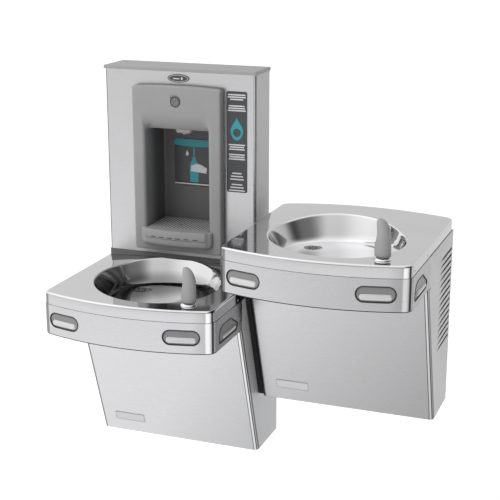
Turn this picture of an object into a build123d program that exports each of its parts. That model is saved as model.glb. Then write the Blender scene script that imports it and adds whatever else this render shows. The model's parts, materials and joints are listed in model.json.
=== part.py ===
from build123d import *
import math
import os

# Bi-level wall-hung drinking fountain with a bottle filler on the lower one.
# Millimetres. +Z up, -Y out of the wall, +X to the right as a user faces it.
# Origin: on the wall plane (y = 0), midway across the pair, at the centre of the wall plate.

# ---- Whole object -----------------------------------------------------------------------------
UNIT_W = 467.0  # width of one fountain
UNIT_GAP = 14.0  # between the two fountains
UNIT_H = 500.0  # deck top down to the bottom edge
LEFT_DECK_Z = 160.0  # deck top of the lower fountain
DECK_STEP = 165.0  # how much higher the right fountain stands
WALL_GAP = 3.0  # the wall plate's thickness: cabinets start here
SHEET = 1.5  # stainless sheet of basins and aprons
PANEL = 1.2  # thinner sheet of panels
FIT = 0.3  # gap left between neighbouring pieces

# ---- One fountain, in its own frame: x from its left side, z from its deck top ------------------
MID = UNIT_W / 2
CORNER_D = 469.0  # depth at the sides
BOW = 40.0  # how far the front bows out beyond that
CORNER_R = 28.0
BOW_R = (MID**2 + BOW**2) / (2 * BOW)
BOW_Y = BOW_R - CORNER_D - BOW  # y of the bow's centre
SKIRT_H = 30.0
SKIRT_INSET = 2.5  # the basin's skirt stands inside the apron's face
ROLL_R = 6.0  # rolled top edge of the deck
APRON_BOTTOM = -108.0
APRON_REAR = -276.4
APRON_LIP = 12.0  # return flange along the apron's bottom
RIDGE_H = 12.0  # raised crown along the back of the deck
RIDGE_FRONT = -150.0  # where the deck starts to rise
RIDGE_TOP = -108.0  # where it is fully up

BOWL_TURN = -50.0  # direction of the oval's long axis
# height, centre x, centre y, long and short half axis of the bowl's oval at that height
BOWL_RINGS = [
    (16.0, 236.0, -284.0, 192.0, 170.0),
    (-1.0, 236.0, -284.0, 188.0, 166.0),
    (-32.0, 222.0, -270.0, 158.0, 138.0),
    (-58.0, 190.0, -240.0, 92.0, 78.0),
]
DRAIN = (152.0, -208.0)
DRAIN_R = 27.0
BUBBLER = (391.0, -440.0)
SHANK_R = 9.5
GUARD_LEAN = 160.0  # the guard's hood leans this way, towards the bowl

SLOPE_TOP = (-290.0, -108.2)  # front panel's top edge, as y and z
SLOPE_BOTTOM = (-160.0, -500.0)
WRAP_R = 7.0
WRAP_D = 13.0  # how far the front panel wraps round the sides
SEAM = 2.5  # open seam between that wrap and the side panel
SIDE_LIP = 6.0  # return flange along a side panel's top
SIDE_FRONT = 277.0

# ---- Push pads ------------------------------------------------------------------------------------
PAD_W = 90.0
PAD_H = 35.0
PAD_OFFSETS = {-1: 165.0, 1: 157.0}  # centres of the front pads from the middle of the bow
PAD_Z = -68.5
PAD_TRAVEL = 5.0
PAD_SINK = 1.2  # the pad's face lies this far behind the sheet's face
PAD_BAR = (76.0, 15.0, 2.4)  # raised bar: length, height, how far it stands out
PAD_BAR_DROP = 7.0
BEZEL_IN = 0.4  # outlines round the pad's own outline
PAD_FLANGE = 3.0
BEZEL_OUT = 2.4
HOLE_OUT = 2.6
BEZEL_FLANGE = 6.0
SIDE_PAD = [(-431.0, -94.0), (-431.0, -54.0), (-352.5, -54.0), (-306.0, -81.5), (-319.0, -94.0)]
SIDE_PAD_R = [5.0, 28.0, 4.0, 6.0, 4.0]
SIDE_BAR = (-364.0, -84.5, 84.0, 13.0)  # centre y, centre z, length, height
STEM_R = 4.0
STEM_END = 14.0
SWITCH_FRONT = 19.6
SWITCH_REAR = 29.6

# ---- Louvres of the cooled fountain's right side ---------------------------------------------------
LOUVRES = 15
LOUVRE_PITCH = 16.8
LOUVRE_TOP = -78.0
LOUVRE_H = 7.0
LOUVRE_Y = (-170.0, -14.0)
LOUVRE_DEEP = 6.0

SCREW_R = 1.6
SCREW_HEAD_R = 3.4
SIDE_SCREWS = [(-432.0, -22.0), (-300.0, -22.0), (-262.0, -116.0)]  # y, z

# ---- Tower, in the lower fountain's frame -----------------------------------------------------------
TOWER_X = 228.0
TOWER_W = 427.0
TOWER_Y = -114.0
BASE_TOP = 22.0
TOWER_TOP = 521.0
CAP_H = 9.5
CAP_OVER = 3.0
FASCIA_W = 254.0
FASCIA_Z = (37.0, 487.0)
FASCIA_Y = -138.0
FASCIA_WALL = 3.0
ALCOVE_W = 182.0
ALCOVE_Z = (98.0, 406.0)
ALCOVE_BACK = -15.5
HOOD_LIP = (-100.0, 365.0)  # y and z of the hood's lower edge
LIP_W = 206.0
LIP_Z = (57.0, 101.0)
LIP_Y = -165.0
LIP_SIDE_Y = -152.0
GRILLE_W = 176.0
GRILLE_T = 3.0
GRILLE_LIP_Z = 77.0
GRILLE_SLOTS = 13
BUTTON_R = 11.6
BUTTON_Z = 445.0
BUTTON_TRAVEL = 4.0
NOZZLE_W = 46.0

# ---- Services -----------------------------------------------------------------------------------------
TRAP_R = 17.5
TRAP_BORE_R = 15.9
TRAP_Z = -110.0
TUBE_R = 4.0
VALVE = (330.0, -40.0, -88.0)

# ---- Wall hooks: where they stand in each fountain's own frame --------------------------------------
HOOK_W = 50.0
HOOK_Z = 30.0
HOOK_H = 20.0
HOOKS = {"left": (60.0, 400.0), "right": (150.0, 406.0)}

LEFT_X = -UNIT_W - UNIT_GAP / 2
RIGHT_X = UNIT_GAP / 2
RIGHT_DECK_Z = LEFT_DECK_Z + DECK_STEP
CORNERS = {"left": (LEFT_X, LEFT_DECK_Z), "right": (RIGHT_X, RIGHT_DECK_Z)}
UNITS = {name: Pos(x, 0, z) for name, (x, z) in CORNERS.items()}


def block(x, y, z):
    """A box between two corners, given as (low, high) along each axis."""
    size = Box(x[1] - x[0], y[1] - y[0], z[1] - z[0])
    return Pos((x[0] + x[1]) / 2, (y[0] + y[1]) / 2, (z[0] + z[1]) / 2) * size


def prism(face, low, high):
    """Extrude a face lying in the XY plane from one height to another."""
    return extrude(Pos(0, 0, low) * face, high - low)


def across(points, x):
    """Extrude an outline given as (y, z) points across the x range."""
    face = make_face(Polyline([(0, y, z) for y, z in points], close=True))
    return Pos(x[0], 0, 0) * extrude(face, x[1] - x[0], dir=(1, 0, 0))


def rod(radius, start, end):
    """A round bar from one point to another."""
    a, b = Vector(*start), Vector(*end)
    return extrude(Plane(origin=a, z_dir=b - a) * Circle(radius), (b - a).length)


def footprint(inset, rear=-WALL_GAP):
    """Plan outline of a fountain: straight sides, bowed front, rounded front corners."""
    front = -CORNER_D - BOW
    sheet = Pos(MID, (rear + front - 50) / 2) * Rectangle(UNIT_W - 2 * inset, rear - front + 50)
    outline = sheet & (Pos(MID, BOW_Y) * Circle(BOW_R - inset))
    corners = [v for v in outline.vertices() if v.Y < -CORNER_D / 2]
    return fillet(corners, CORNER_R - inset)


def bow_band(outer, inner):
    """The space between two offsets of the bowed front, negative inwards."""
    ring = Circle(BOW_R + outer) - Circle(BOW_R + inner)
    return prism(Pos(MID, BOW_Y) * ring, APRON_BOTTOM - 20, 20)


def ridge(lift):
    """The crown along the back of the deck, with its sloping front."""
    crown = (MID**2 + RIDGE_H**2) / (2 * RIDGE_H)
    arch = Pos(MID, RIDGE_H + lift - crown) * Circle(crown) & Pos(MID, 30) * Rectangle(UNIT_W, 80)
    body = extrude(Plane.XZ * arch, -RIDGE_FRONT)
    slope = [(RIDGE_FRONT, lift - 8), (RIDGE_FRONT, lift), (RIDGE_TOP, lift + RIDGE_H)]
    slope += [(-WALL_GAP, lift + RIDGE_H), (-WALL_GAP, lift - 8)]
    return body & across(slope, (0, UNIT_W))


def deck_form(inset, drop, bottom):
    """The deck as a solid: skirt, rolled top edge and crown."""
    plan = footprint(SKIRT_INSET + inset, -WALL_GAP - inset)
    body = prism(plan, bottom, -drop)
    top = body.faces().sort_by(Axis.Z)[-1]
    rim = [e for e in top.edges() if e.center().Y < -WALL_GAP - SHEET - 1]
    body = fillet(rim, ROLL_R - inset)
    inside = prism(plan, bottom, RIDGE_H + 5)
    return body + (ridge(-drop) & inside)


def bowl_form(grow, drop):
    """The bowl as a solid oval plug, grown and lowered for the outside of the sheet."""
    rings = [
        Pos(x, y, z - drop) * Rot(0, 0, BOWL_TURN) * Ellipse(long + grow, short + grow)
        for z, x, y, long, short in BOWL_RINGS
    ]
    return loft(Sketch() + rings)


def make_basin():
    """Drawn stainless top: deck, skirt, crown and bowl in one sheet."""
    shell = deck_form(0, 0, -SKIRT_H) - deck_form(SHEET, SHEET, -SKIRT_H - 5)
    skin = bowl_form(SHEET, SHEET) & deck_form(0, 0, -90)
    basin = shell + skin - bowl_form(0, 0)
    basin -= Pos(DRAIN[0], DRAIN[1], -60) * Cylinder(DRAIN_R - 5, 30)
    basin -= Pos(BUBBLER[0], BUBBLER[1], 0) * Cylinder(SHANK_R + FIT, 40)
    for side in (0, UNIT_W):
        for y, z in SIDE_SCREWS[:2]:
            basin -= rod(SCREW_R + 0.1, (side - 10, y, z), (side + 10, y, z))
    return basin


def stadium(width, height, grow):
    return SlotOverall(width + 2 * grow, height + 2 * grow)


def front_pad_prism(side, grow, bar=False):
    """A front pad's outline, grown, as a long prism along the pad's travel."""
    z = PAD_Z - PAD_BAR_DROP if bar else PAD_Z
    face = stadium(PAD_BAR[0], PAD_BAR[1], 0) if bar else stadium(PAD_W, PAD_H, grow)
    return front_place(side, z) * (Plane.XZ * extrude(face, 30, both=True))


def front_place(side, z=PAD_Z):
    """On the bowed front at the centre of a pad, with +Y pointing into the cabinet."""
    turn = math.degrees(math.asin(side * PAD_OFFSETS[side] / BOW_R))
    return Pos(MID, BOW_Y, z) * Rot(0, 0, turn) * Pos(0, -BOW_R, 0)


def side_pad_face(grow):
    """A side pad's outline in the YZ plane, grown by the same amount all round."""
    outline = make_face(Polyline([(0, y, z) for y, z in SIDE_PAD], close=True))
    for (y, z), radius in zip(SIDE_PAD, SIDE_PAD_R):
        near = outline.vertices().sort_by_distance((0, y, z))[0]
        outline = fillet(near, radius)
    return offset(outline, grow) if grow else outline


def side_slab(side, face, outer, inner):
    """Extrude a YZ face between two depths, measured inwards from the side's surface."""
    inward = 1 if side < 0 else -1
    start = 0 if side < 0 else UNIT_W
    return Pos(start + inward * outer, 0, 0) * extrude(face, inner - outer, dir=(inward, 0, 0))


def make_apron():
    """Stainless band under the basin, open at the back, with its pad holes and lips."""
    top = -SKIRT_H - 0.6
    outer = footprint(0)
    band = prism(outer - footprint(SHEET), APRON_BOTTOM, top)
    band += prism(outer - footprint(APRON_LIP), APRON_BOTTOM, APRON_BOTTOM + SHEET)
    band += prism(outer - footprint(6), top - SHEET, top)
    band &= block((-1, UNIT_W + 1), (-600, APRON_REAR), (-200, 0))
    for side in (-1, 1):
        band -= front_pad_prism(side, HOLE_OUT) & block((0, UNIT_W), (-600, -440), (-200, 0))
        band -= side_slab(side, side_pad_face(HOLE_OUT), -5, 8)
    return band


def make_front_pad(side):
    """Push pad: face plate, raised bar, retaining flange and stem."""
    pad = front_pad_prism(side, 0) & bow_band(-PAD_SINK, -9)
    pad += front_pad_prism(side, PAD_FLANGE) & bow_band(-7.3, -9.3)
    bar = front_pad_prism(side, 0, bar=True) & bow_band(PAD_BAR[2], -PAD_SINK - 1)
    pad += bar & block((0, UNIT_W), (-600, -440), (-200, 0))
    pad = pad & block((0, UNIT_W), (-600, -440), (-200, 0))
    stem = Pos(0, STEM_END / 2 + 4, 0) * Rot(90, 0, 0) * Cylinder(STEM_R, STEM_END - 8)
    return pad + front_place(side) * stem


def make_side_pad(side):
    pad = side_slab(side, side_pad_face(0), PAD_SINK, 9)
    pad += side_slab(side, side_pad_face(PAD_FLANGE), 7.3, 9.3)
    y, z, length, height = SIDE_BAR
    bar = Plane.YZ * SlotOverall(length, height)
    pad += side_slab(side, Pos(0, y, z) * bar, -PAD_BAR[2], PAD_SINK + 1)
    middle = (SIDE_PAD[0][0] + SIDE_PAD[3][0]) / 2
    stem = Pos(0, middle, PAD_Z - 5) * (Plane.YZ * Circle(STEM_R))
    return pad + side_slab(side, stem, 8, STEM_END)


def make_bezels():
    """Four black frames that guide the pads, clipped into the apron's holes."""
    frames = []
    near = block((0, UNIT_W), (-600, -440), (-200, 0))
    for side in (-1, 1):
        hollow = front_pad_prism(side, BEZEL_IN)
        ring = front_pad_prism(side, BEZEL_OUT) & bow_band(0.8, -7)
        ring += front_pad_prism(side, BEZEL_FLANGE) & bow_band(-SHEET - 0.25, -SHEET - 1.6)
        frames.append((ring - hollow) & near)
    for side in (-1, 1):
        ring = side_slab(side, side_pad_face(BEZEL_OUT), -0.8, 7)
        ring += side_slab(side, side_pad_face(BEZEL_FLANGE), SHEET + 0.1, SHEET + 1.6)
        frames.append(ring - side_slab(side, side_pad_face(BEZEL_IN), -5, 12))
    return frames


def make_switches():
    """Four switches, each on a bridge whose legs stand on the bezel's flange."""
    leg = SHEET + 1.9
    switches = []
    half = PAD_W / 2 + 5.2
    bridge = block((-half, half), (SWITCH_REAR, SWITCH_REAR + 1.5), (-7, 7))
    body = block((-10, 10), (SWITCH_FRONT, SWITCH_REAR), (-6, 6))
    for side in (-1, 1):
        legs = []
        for end in (-1, 1):
            x = sorted((end * half, end * (half - 1.6)))
            legs.append(block(x, (leg + 2.2, SWITCH_REAR + 0.5), (-7, 7)))
        switches.append(front_place(side) * (bridge + body + legs))
    front, rear = SIDE_PAD[0][0] - 5.2, SIDE_PAD[3][0] + 5.4
    for side in (-1, 1):
        plate = Plane.YZ * Rectangle(rear - front, 14)
        middle = Pos(0, (front + rear) / 2, PAD_Z - 8)
        switch = side_slab(side, middle * plate, SWITCH_REAR, SWITCH_REAR + 1.5)
        switch += side_slab(side, middle * (Plane.YZ * Rectangle(20, 12)), SWITCH_FRONT, SWITCH_REAR)
        for y in (front + 0.8, rear - 0.8):
            foot = Pos(0, y, PAD_Z - 8) * (Plane.YZ * Rectangle(1.6, 14))
            switch += side_slab(side, foot, leg, SWITCH_REAR + 0.5)
        switches.append(switch)
    return switches


def make_front_panel():
    """Sloping front panel with wrapped sides, and the pan under the bowl."""
    top, bottom = SLOPE_TOP, SLOPE_BOTTOM
    run = Vector(0, bottom[0] - top[0], bottom[1] - top[1])
    along = Plane(origin=(0, top[0], top[1]), x_dir=(1, 0, 0), z_dir=run)
    outer = Pos(MID, -WRAP_D / 2) * Rectangle(UNIT_W, WRAP_D)
    front = [v for v in outer.vertices() if v.Y > -WRAP_D / 2]
    outer = fillet(front, WRAP_R)
    inner = Pos(MID, -WRAP_D / 2 - 5) * Rectangle(UNIT_W - 2 * PANEL, WRAP_D + 10 - 2 * PANEL)
    front = [v for v in inner.vertices() if v.Y > -WRAP_D / 2]
    inner = fillet(front, WRAP_R - PANEL)
    channel = Pos(0, 0, -60) * extrude(outer - inner, run.length + 120)
    # the channel's own -Y points into the cabinet
    panel = along * channel & block((0, UNIT_W), (-400, -50), (bottom[1], top[1]))
    pan = footprint(4) & Pos(MID, -430) * Rectangle(UNIT_W, 2 * (430 + top[0] + 4))
    return panel + prism(pan, APRON_BOTTOM - 1.4, APRON_BOTTOM - 0.2)


def make_side_panel(side, louvred):
    wrap_rear = SLOPE_BOTTOM[0] + WRAP_D / math.cos(math.atan2(130, 391.8))
    outline = [(-WALL_GAP, -SKIRT_H - 0.6), (APRON_REAR + 0.4, -SKIRT_H - 0.6)]
    outline += [(APRON_REAR + 0.4, APRON_BOTTOM), (wrap_rear + SEAM, -UNIT_H)]
    outline += [(-WALL_GAP, -UNIT_H)]
    x = (0, PANEL) if side < 0 else (UNIT_W - PANEL, UNIT_W)
    panel = across(outline, x)
    x_lip = (0, SIDE_LIP) if side < 0 else (UNIT_W - SIDE_LIP, UNIT_W)
    panel += block(x_lip, (APRON_REAR + 0.4, -6), (-SKIRT_H - 0.6 - PANEL, -SKIRT_H - 0.6))
    y, z = SIDE_SCREWS[2]
    panel -= rod(SCREW_R + 0.1, (x[0] - 5, y, z), (x[1] + 5, y, z))
    if louvred:
        face = UNIT_W
        wall = PANEL
        for row in range(LOUVRES):
            z = LOUVRE_TOP - row * LOUVRE_PITCH
            low, high = z - LOUVRE_H / 2, z + LOUVRE_H / 2
            front, rear = LOUVRE_Y
            panel += wedge(face - wall, front, rear, low - wall, high + wall, LOUVRE_DEEP)
            panel -= wedge(face + 0.5, front + 1, rear + 1, low, high, LOUVRE_DEEP + 0.5)
    return panel


def wedge(face, front, rear, low, high, deep):
    """A ramp that starts at the surface at its front end and is deepest at its rear."""
    ramp = make_face(Polyline([(face, front), (face, rear), (face - deep, rear)], close=True))
    return prism(ramp, low, high)


def make_chassis(hooks, deck_z):
    """Back plate and bottom plate, with slots for the wall hooks and a hole for the waste."""
    x = (PANEL + FIT, UNIT_W - PANEL - FIT)
    rear = -WALL_GAP - FIT
    back = block(x, (rear - SHEET, rear), (-UNIT_H + 1, -SKIRT_H - 0.6))
    floor = block(x, (SLOPE_BOTTOM[0] + 8, rear), (-UNIT_H + 1, -UNIT_H + 1 + SHEET))
    chassis = back + floor
    chassis -= rod(TRAP_R + 1, (DRAIN[0], -20, TRAP_Z), (DRAIN[0], 0, TRAP_Z))
    half = HOOK_W / 2 + 3
    low = HOOK_Z - deck_z - 2
    for x in hooks:
        chassis -= block((x - half, x + half), (-10, 0), (low, low + HOOK_H + 10))
    return chassis


def make_bubbler_body():
    """Chrome base, shank and nut, with the water way through them."""
    x, y = BUBBLER
    profile = [(0, -46), (SHANK_R, -46), (SHANK_R, 0.2), (21, 0.2), (21, 2.5), (15, 6), (8, 8)]
    profile += [(8, 58), (5, 60), (0, 60)]
    body = revolve(make_face(Polyline([(r, 0, z) for r, z in profile], close=True)), Axis.Z)
    nut = extrude(RegularPolygon(15, 6), 9) - extrude(Circle(SHANK_R - 1), 9)
    body += Pos(0, 0, -SHEET - 9.4) * nut
    body -= Pos(0, 0, -2) * Cylinder(TUBE_R + 0.1, 90)
    return Pos(x, y, 0) * body


def make_guard():
    """Flexible guard: an oval column whose top curls over towards the bowl."""
    # height, shift along the lean, half length, half width
    rings = [(8.3, 0, 19.5, 16), (22, 0, 20.5, 16.5), (38, 1, 20, 16), (50, -3.5, 16, 15)]
    rings += [(64, -3.5, 15, 14), (78, 1.5, 15, 12.5), (88, 6, 12.5, 10), (95, 9.5, 6, 5)]
    faces = [Pos(c, 0, z) * Ellipse(long, short) for z, c, long, short in rings]
    guard = loft(Sketch() + faces)
    guard -= Pos(0, 0, 30) * Cylinder(8 + 0.2, 61)
    return Pos(BUBBLER[0], BUBBLER[1], 0) * Rot(0, 0, GUARD_LEAN) * guard


def make_strainer():
    """Drain strainer: a dished plate with crossed slots, on a short collar."""
    plate = Circle(DRAIN_R - 5.3)
    slots = []
    for turn in range(0, 180, 45):
        slots.append(Rot(0, 0, turn + 20) * SlotOverall(32, 3.4))
    body = extrude(plate - slots, 2)
    hub = extrude(Circle(5), 2)
    body += hub
    body += extrude(Circle(DRAIN_R - 5.3) - Circle(DRAIN_R - 7.3), -8)
    return Pos(DRAIN[0], DRAIN[1], -59.6) * body


def make_trap():
    """Waste trap: from under the drain, down, round the bend and back to the wall."""
    x, y = DRAIN
    route = [(x, y, -68.2), (x, y, -180), (x, y + 82, -180), (x, y + 82, TRAP_Z), (x, -6, TRAP_Z)]
    path = FilletPolyline(route, radius=[38, 38, 30])
    start = Plane(origin=route[0], z_dir=(0, 0, -1))
    pipe = sweep(start * (Circle(TRAP_R) - Circle(TRAP_BORE_R)), path=path)
    flange = Pos(x, y, -64.6) * (Cylinder(DRAIN_R, 7) - Cylinder(DRAIN_R - 4.4, 7))
    step = Pos(x, y, -68.6) * (Cylinder(DRAIN_R, 1.6) - Cylinder(TRAP_BORE_R, 1.6))
    return pipe + flange + step


def make_valve(x, y, z):
    """Water valve: brass body with its coil on top and a mounting foot to the chassis."""
    body = block((x - 16, x + 16), (y - 22, y + 14), (z - 12, z + 12))
    body += Pos(x, y + 2, z - 27) * Cylinder(14, 30)
    body += block((x - 9, x + 9), (y + 10, -WALL_GAP - FIT - SHEET - 0.1), (z - 9, z + 9))
    body -= rod(TUBE_R + 0.1, (x, y - 23, z), (x, y - 6, z))
    return body


def make_tube(route, radii):
    path = FilletPolyline(route, radius=radii)
    start = Plane(origin=route[0], z_dir=Vector(*route[1]) - Vector(*route[0]))
    return sweep(start * (Circle(TUBE_R) - Circle(TUBE_R - 1)), path=path)


def make_water_tube():
    """Copper tube from the valve to the bubbler's shank, under the bowl."""
    x, y, z = VALVE
    end = BUBBLER
    route = [(x, y - 7, z), (x, -250, z), (end[0], -360, z), (end[0], end[1], z)]
    route.append((end[0], end[1], -40))
    return make_tube(route, [60, 60, 30])


def make_name_plate():
    """Blank plate near the foot of the sloping front."""
    run = Vector(0, SLOPE_BOTTOM[0] - SLOPE_TOP[0], SLOPE_BOTTOM[1] - SLOPE_TOP[1])
    centre = Vector(90, *SLOPE_TOP) + Vector(0, run.Y, run.Z) * 0.873
    face = Plane(origin=centre, x_dir=(1, 0, 0), z_dir=(0, run.Z, -run.Y))
    return face * (Pos(0, 0, 0.05) * extrude(RectangleRounded(90, 27, 2), 0.6))


def make_screw():
    """Pan-head screw with a crossed recess, its head standing on z = 0."""
    head = extrude(Circle(SCREW_HEAD_R), 1.6)
    head = fillet(head.faces().sort_by(Axis.Z)[-1].edges(), 1.1)
    screw = head + extrude(Circle(SCREW_R), -8)
    return screw - Pos(0, 0, 1.6) * (Box(4.0, 0.8, 1.2) + Box(0.8, 4.0, 1.2))


def make_screws(name):
    """Screws of both sides of one fountain, apart from one that the joining filler hides."""
    screws = []
    screw = make_screw()
    for side in (-1, 1):
        for (y, z), inset in zip(SIDE_SCREWS, (SKIRT_INSET, SKIRT_INSET, 0)):
            if name == "right" and side < 0 and not inset:
                continue
            x = inset - 0.05 if side < 0 else UNIT_W - inset + 0.05
            screws.append(Pos(x, y, z) * Rot(0, 90 * side, 0) * screw)
    return screws


def make_wall_plate():
    """Common plate on the wall, with a bolt hole in each corner and two hooks a fountain."""
    plate = block((-450, 450), (-WALL_GAP, 0), (-90, 90))
    for x in (-420, 420):
        for z in (-70, 70):
            plate -= rod(4.5, (x, -10, z), (x, 1, z))
    for name, (x0, _) in CORNERS.items():
        for hook in HOOKS[name]:
            x = (x0 + hook - HOOK_W / 2, x0 + hook + HOOK_W / 2)
            plate += block(x, (-9, -1), (HOOK_Z, HOOK_Z + 2.5))
            plate += block(x, (-9, -6.5), (HOOK_Z, HOOK_Z + HOOK_H))
    x = LEFT_X + DRAIN[0]
    z = LEFT_DECK_Z + TRAP_Z
    return plate - rod(26, (x, -10, z), (x, 1, z))


def make_filler_strip():
    """Black channel that closes the gap between the two cabinets."""
    top, bottom = 216.5, RIGHT_DECK_Z - UNIT_H + 3
    rise = (SLOPE_TOP[0] - SLOPE_BOTTOM[0]) / (SLOPE_TOP[1] - SLOPE_BOTTOM[1])
    wall = 2.0

    def front(z):
        return SLOPE_BOTTOM[0] + (z - bottom) * rise + 7

    outer = [(front(top), top), (front(bottom), bottom), (-WALL_GAP - FIT, bottom)]
    outer.append((-WALL_GAP - FIT, top))
    inner = [(front(top) + wall, top - wall), (front(bottom) + wall, bottom + wall)]
    inner += [(0, bottom + wall), (0, top - wall)]
    half = UNIT_GAP / 2 - FIT
    return across(outer, (-half, half)) - across(inner, (-half + wall, half - wall))


# ---- Tower ---------------------------------------------------------------------------------------------


def tower_x(grow=0.0):
    return (TOWER_X - TOWER_W / 2 - grow, TOWER_X + TOWER_W / 2 + grow)


def make_tower_base():
    """Dark band that stands on the deck and follows its crown."""
    body = block(tower_x(0.6), (TOWER_Y - 0.6, -WALL_GAP - FIT), (0.4, BASE_TOP))
    low, high = tower_x(-3)
    body -= block((low, high), (TOWER_Y + 3, -7), (-5, BASE_TOP + 5))
    return body - ridge(0.3) - block((0, UNIT_W), (-150, 0), (-5, 0.4))


def make_tower_case():
    """Grey back and sides of the tower, as one folded sheet."""
    low, high = tower_x()
    z = (BASE_TOP + FIT, TOWER_TOP)
    outer = block((low, high), (TOWER_Y + 12.5, -WALL_GAP - FIT), z)
    inner = block((low + PANEL, high - PANEL), (TOWER_Y, -WALL_GAP - FIT - PANEL), (0, 600))
    return outer - inner


def fascia_face(grow):
    """Front outline of the fascia: square foot, rounded top corners and a slightly arched top."""
    half = FASCIA_W / 2 + grow
    low, high = FASCIA_Z[0] - grow, FASCIA_Z[1] + grow
    left, right = TOWER_X - half, TOWER_X + half
    edges = Polyline([(left, high - 4), (left, low), (right, low), (right, high - 4)])
    top = ThreePointArc((right, high - 4), (TOWER_X, high), (left, high - 4))
    return fillet(make_face(edges + top).vertices(), 8)


def upright(face, near, far):
    """Extrude a face drawn as (x, z) from one y to another."""
    return Pos(0, far, 0) * extrude(Plane.XZ * face, far - near)


def make_tower_front():
    """Brushed stainless front skin, wrapped round its edges, with the fascia's window."""
    low, high = tower_x()
    z = (BASE_TOP + FIT, TOWER_TOP)
    radius = 5
    ends = (TOWER_Y, TOWER_Y + 10.7)
    plan = Pos(TOWER_X, sum(ends) / 2) * Rectangle(high - low, ends[1] - ends[0])
    plan = fillet([v for v in plan.vertices() if v.Y < TOWER_Y + 5], radius)
    inner = Pos(TOWER_X, sum(ends) / 2 + PANEL) * Rectangle(high - low - 2 * PANEL, ends[1] - ends[0])
    inner = fillet([v for v in inner.vertices() if v.Y < TOWER_Y + 5], radius - PANEL)
    skin = prism(plan - inner, *z)
    return skin - upright(fascia_face(-6), TOWER_Y - 5, TOWER_Y + 9)


def make_tower_cap():
    low, high = tower_x(CAP_OVER)
    cap = block((low, high), (TOWER_Y - CAP_OVER, -WALL_GAP), (TOWER_TOP + FIT, TOWER_TOP + CAP_H))
    rim = [e for e in cap.faces().sort_by(Axis.Z)[-1].edges() if e.center().Y < -10]
    cap = fillet(rim, 2)
    hollow = block((low + 2, high - 2), (TOWER_Y - CAP_OVER + 2, -5), (500, TOWER_TOP + CAP_H - 2))
    cap -= hollow
    for x in (TOWER_X - 187, TOWER_X + 187):
        cap -= Pos(x, -40, TOWER_TOP + CAP_H) * Cylinder(3.5, 1.6)
    return cap


def lip_plan(inset, rear=TOWER_Y + 2):
    """Plan of the bulge under the alcove, with a bowed front."""
    half = LIP_W / 2 - inset
    front, ends = LIP_Y + inset, LIP_SIDE_Y + inset
    left, right = TOWER_X - half, TOWER_X + half
    outline = Polyline([(left, ends), (left, rear), (right, rear), (right, ends)])
    bow = ThreePointArc((right, ends), (TOWER_X, front), (left, ends))
    face = make_face(outline + bow)
    corners = [v for v in face.vertices() if v.Y < ends + 1]
    return fillet(corners, 12 - inset)


def alcove_profile(grow):
    """Side outline of the alcove's hollow, as (y, z), with the sloping hood at its top."""
    floor, top = ALCOVE_Z[0] - 30, ALCOVE_Z[1] + grow
    back = ALCOVE_BACK + grow
    lip_y, lip_z = HOOD_LIP
    mouth = FASCIA_Y + FASCIA_WALL + 0.1 if grow else FASCIA_Y - 20
    extra = 0 if grow else 23
    outline = [(mouth, floor - grow), (back, floor - grow), (back, lip_z + grow)]
    outline += [(lip_y + grow, lip_z + grow), (mouth, top + extra)]
    return outline


def make_fascia():
    """Grey moulded frame of the alcove, with the bulge that carries the grille."""
    outer = upright(fascia_face(0), FASCIA_Y, TOWER_Y - 0.2)
    front = outer.faces().sort_by(Axis.Y)[0]
    outer = fillet(front.edges(), 5)
    outer -= upright(fascia_face(-FASCIA_WALL), FASCIA_Y + FASCIA_WALL, TOWER_Y + 1)
    bulge = prism(lip_plan(0, FASCIA_Y + 2), *LIP_Z)
    body = outer + bulge
    notch = GRILLE_W / 2 + 0.5
    pocket = prism(lip_plan(FASCIA_WALL, FASCIA_Y + 5), LIP_Z[0] + FASCIA_WALL, LIP_Z[1] + 5)
    ledge = (TOWER_X - notch + FASCIA_WALL, TOWER_X + notch - FASCIA_WALL)
    body -= pocket & block(ledge, (-200, 0), (0, 200))
    half = ALCOVE_W / 2
    body -= block((TOWER_X - half, TOWER_X + half), (FASCIA_Y - 1, TOWER_Y), (LIP_Z[0] + 6, ALCOVE_Z[1]))
    body -= block((TOWER_X - notch, TOWER_X + notch), (LIP_Y - 5, FASCIA_Y), (GRILLE_LIP_Z - 0.5, 110))
    stem = Pos(TOWER_X, BUTTON_Z) * Circle(BUTTON_R + 0.4)
    return body - upright(stem, FASCIA_Y - 5, FASCIA_Y + 8)


def make_liner():
    """Dark box behind the fascia: walls, back, hood and sump."""
    half = ALCOVE_W / 2
    outer = across(alcove_profile(2.5), (TOWER_X - half - 2.3, TOWER_X + half + 2.3))
    inner = across(alcove_profile(0), (TOWER_X - half + 0.2, TOWER_X + half - 0.2))
    liner = outer - inner
    ledge = ((-130, ALCOVE_BACK - 2), (LIP_Z[1] - GRILLE_T - 6, LIP_Z[1] - GRILLE_T - 0.1))
    liner += block((TOWER_X - half, TOWER_X - half + 4), *ledge)
    liner += block((TOWER_X + half - 4, TOWER_X + half), *ledge)
    liner -= Pos(TOWER_X, -78, HOOD_LIP[1]) * Cylinder(8.2, 20)
    return liner


def make_nozzle():
    """Filling nozzle through the hood, in a wide shroud under it."""
    profile = [(0, 350), (5.5, 350), (7.5, 354), (7.5, 362), (13, 362), (13, 364.7), (8, 364.7)]
    profile += [(8, 392), (0, 392)]
    body = revolve(make_face(Polyline([(r, 0, z) for r, z in profile], close=True)), Axis.Z)
    shroud = prism(RectangleRounded(NOZZLE_W, 26, 8), 354, 364.7)
    body += chamfer(shroud.faces().sort_by(Axis.Z)[0].edges(), 4)
    body -= Pos(0, 0, 371) * Cylinder(TUBE_R + 0.1, 50)
    return Pos(TOWER_X, -78, 0) * body


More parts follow.
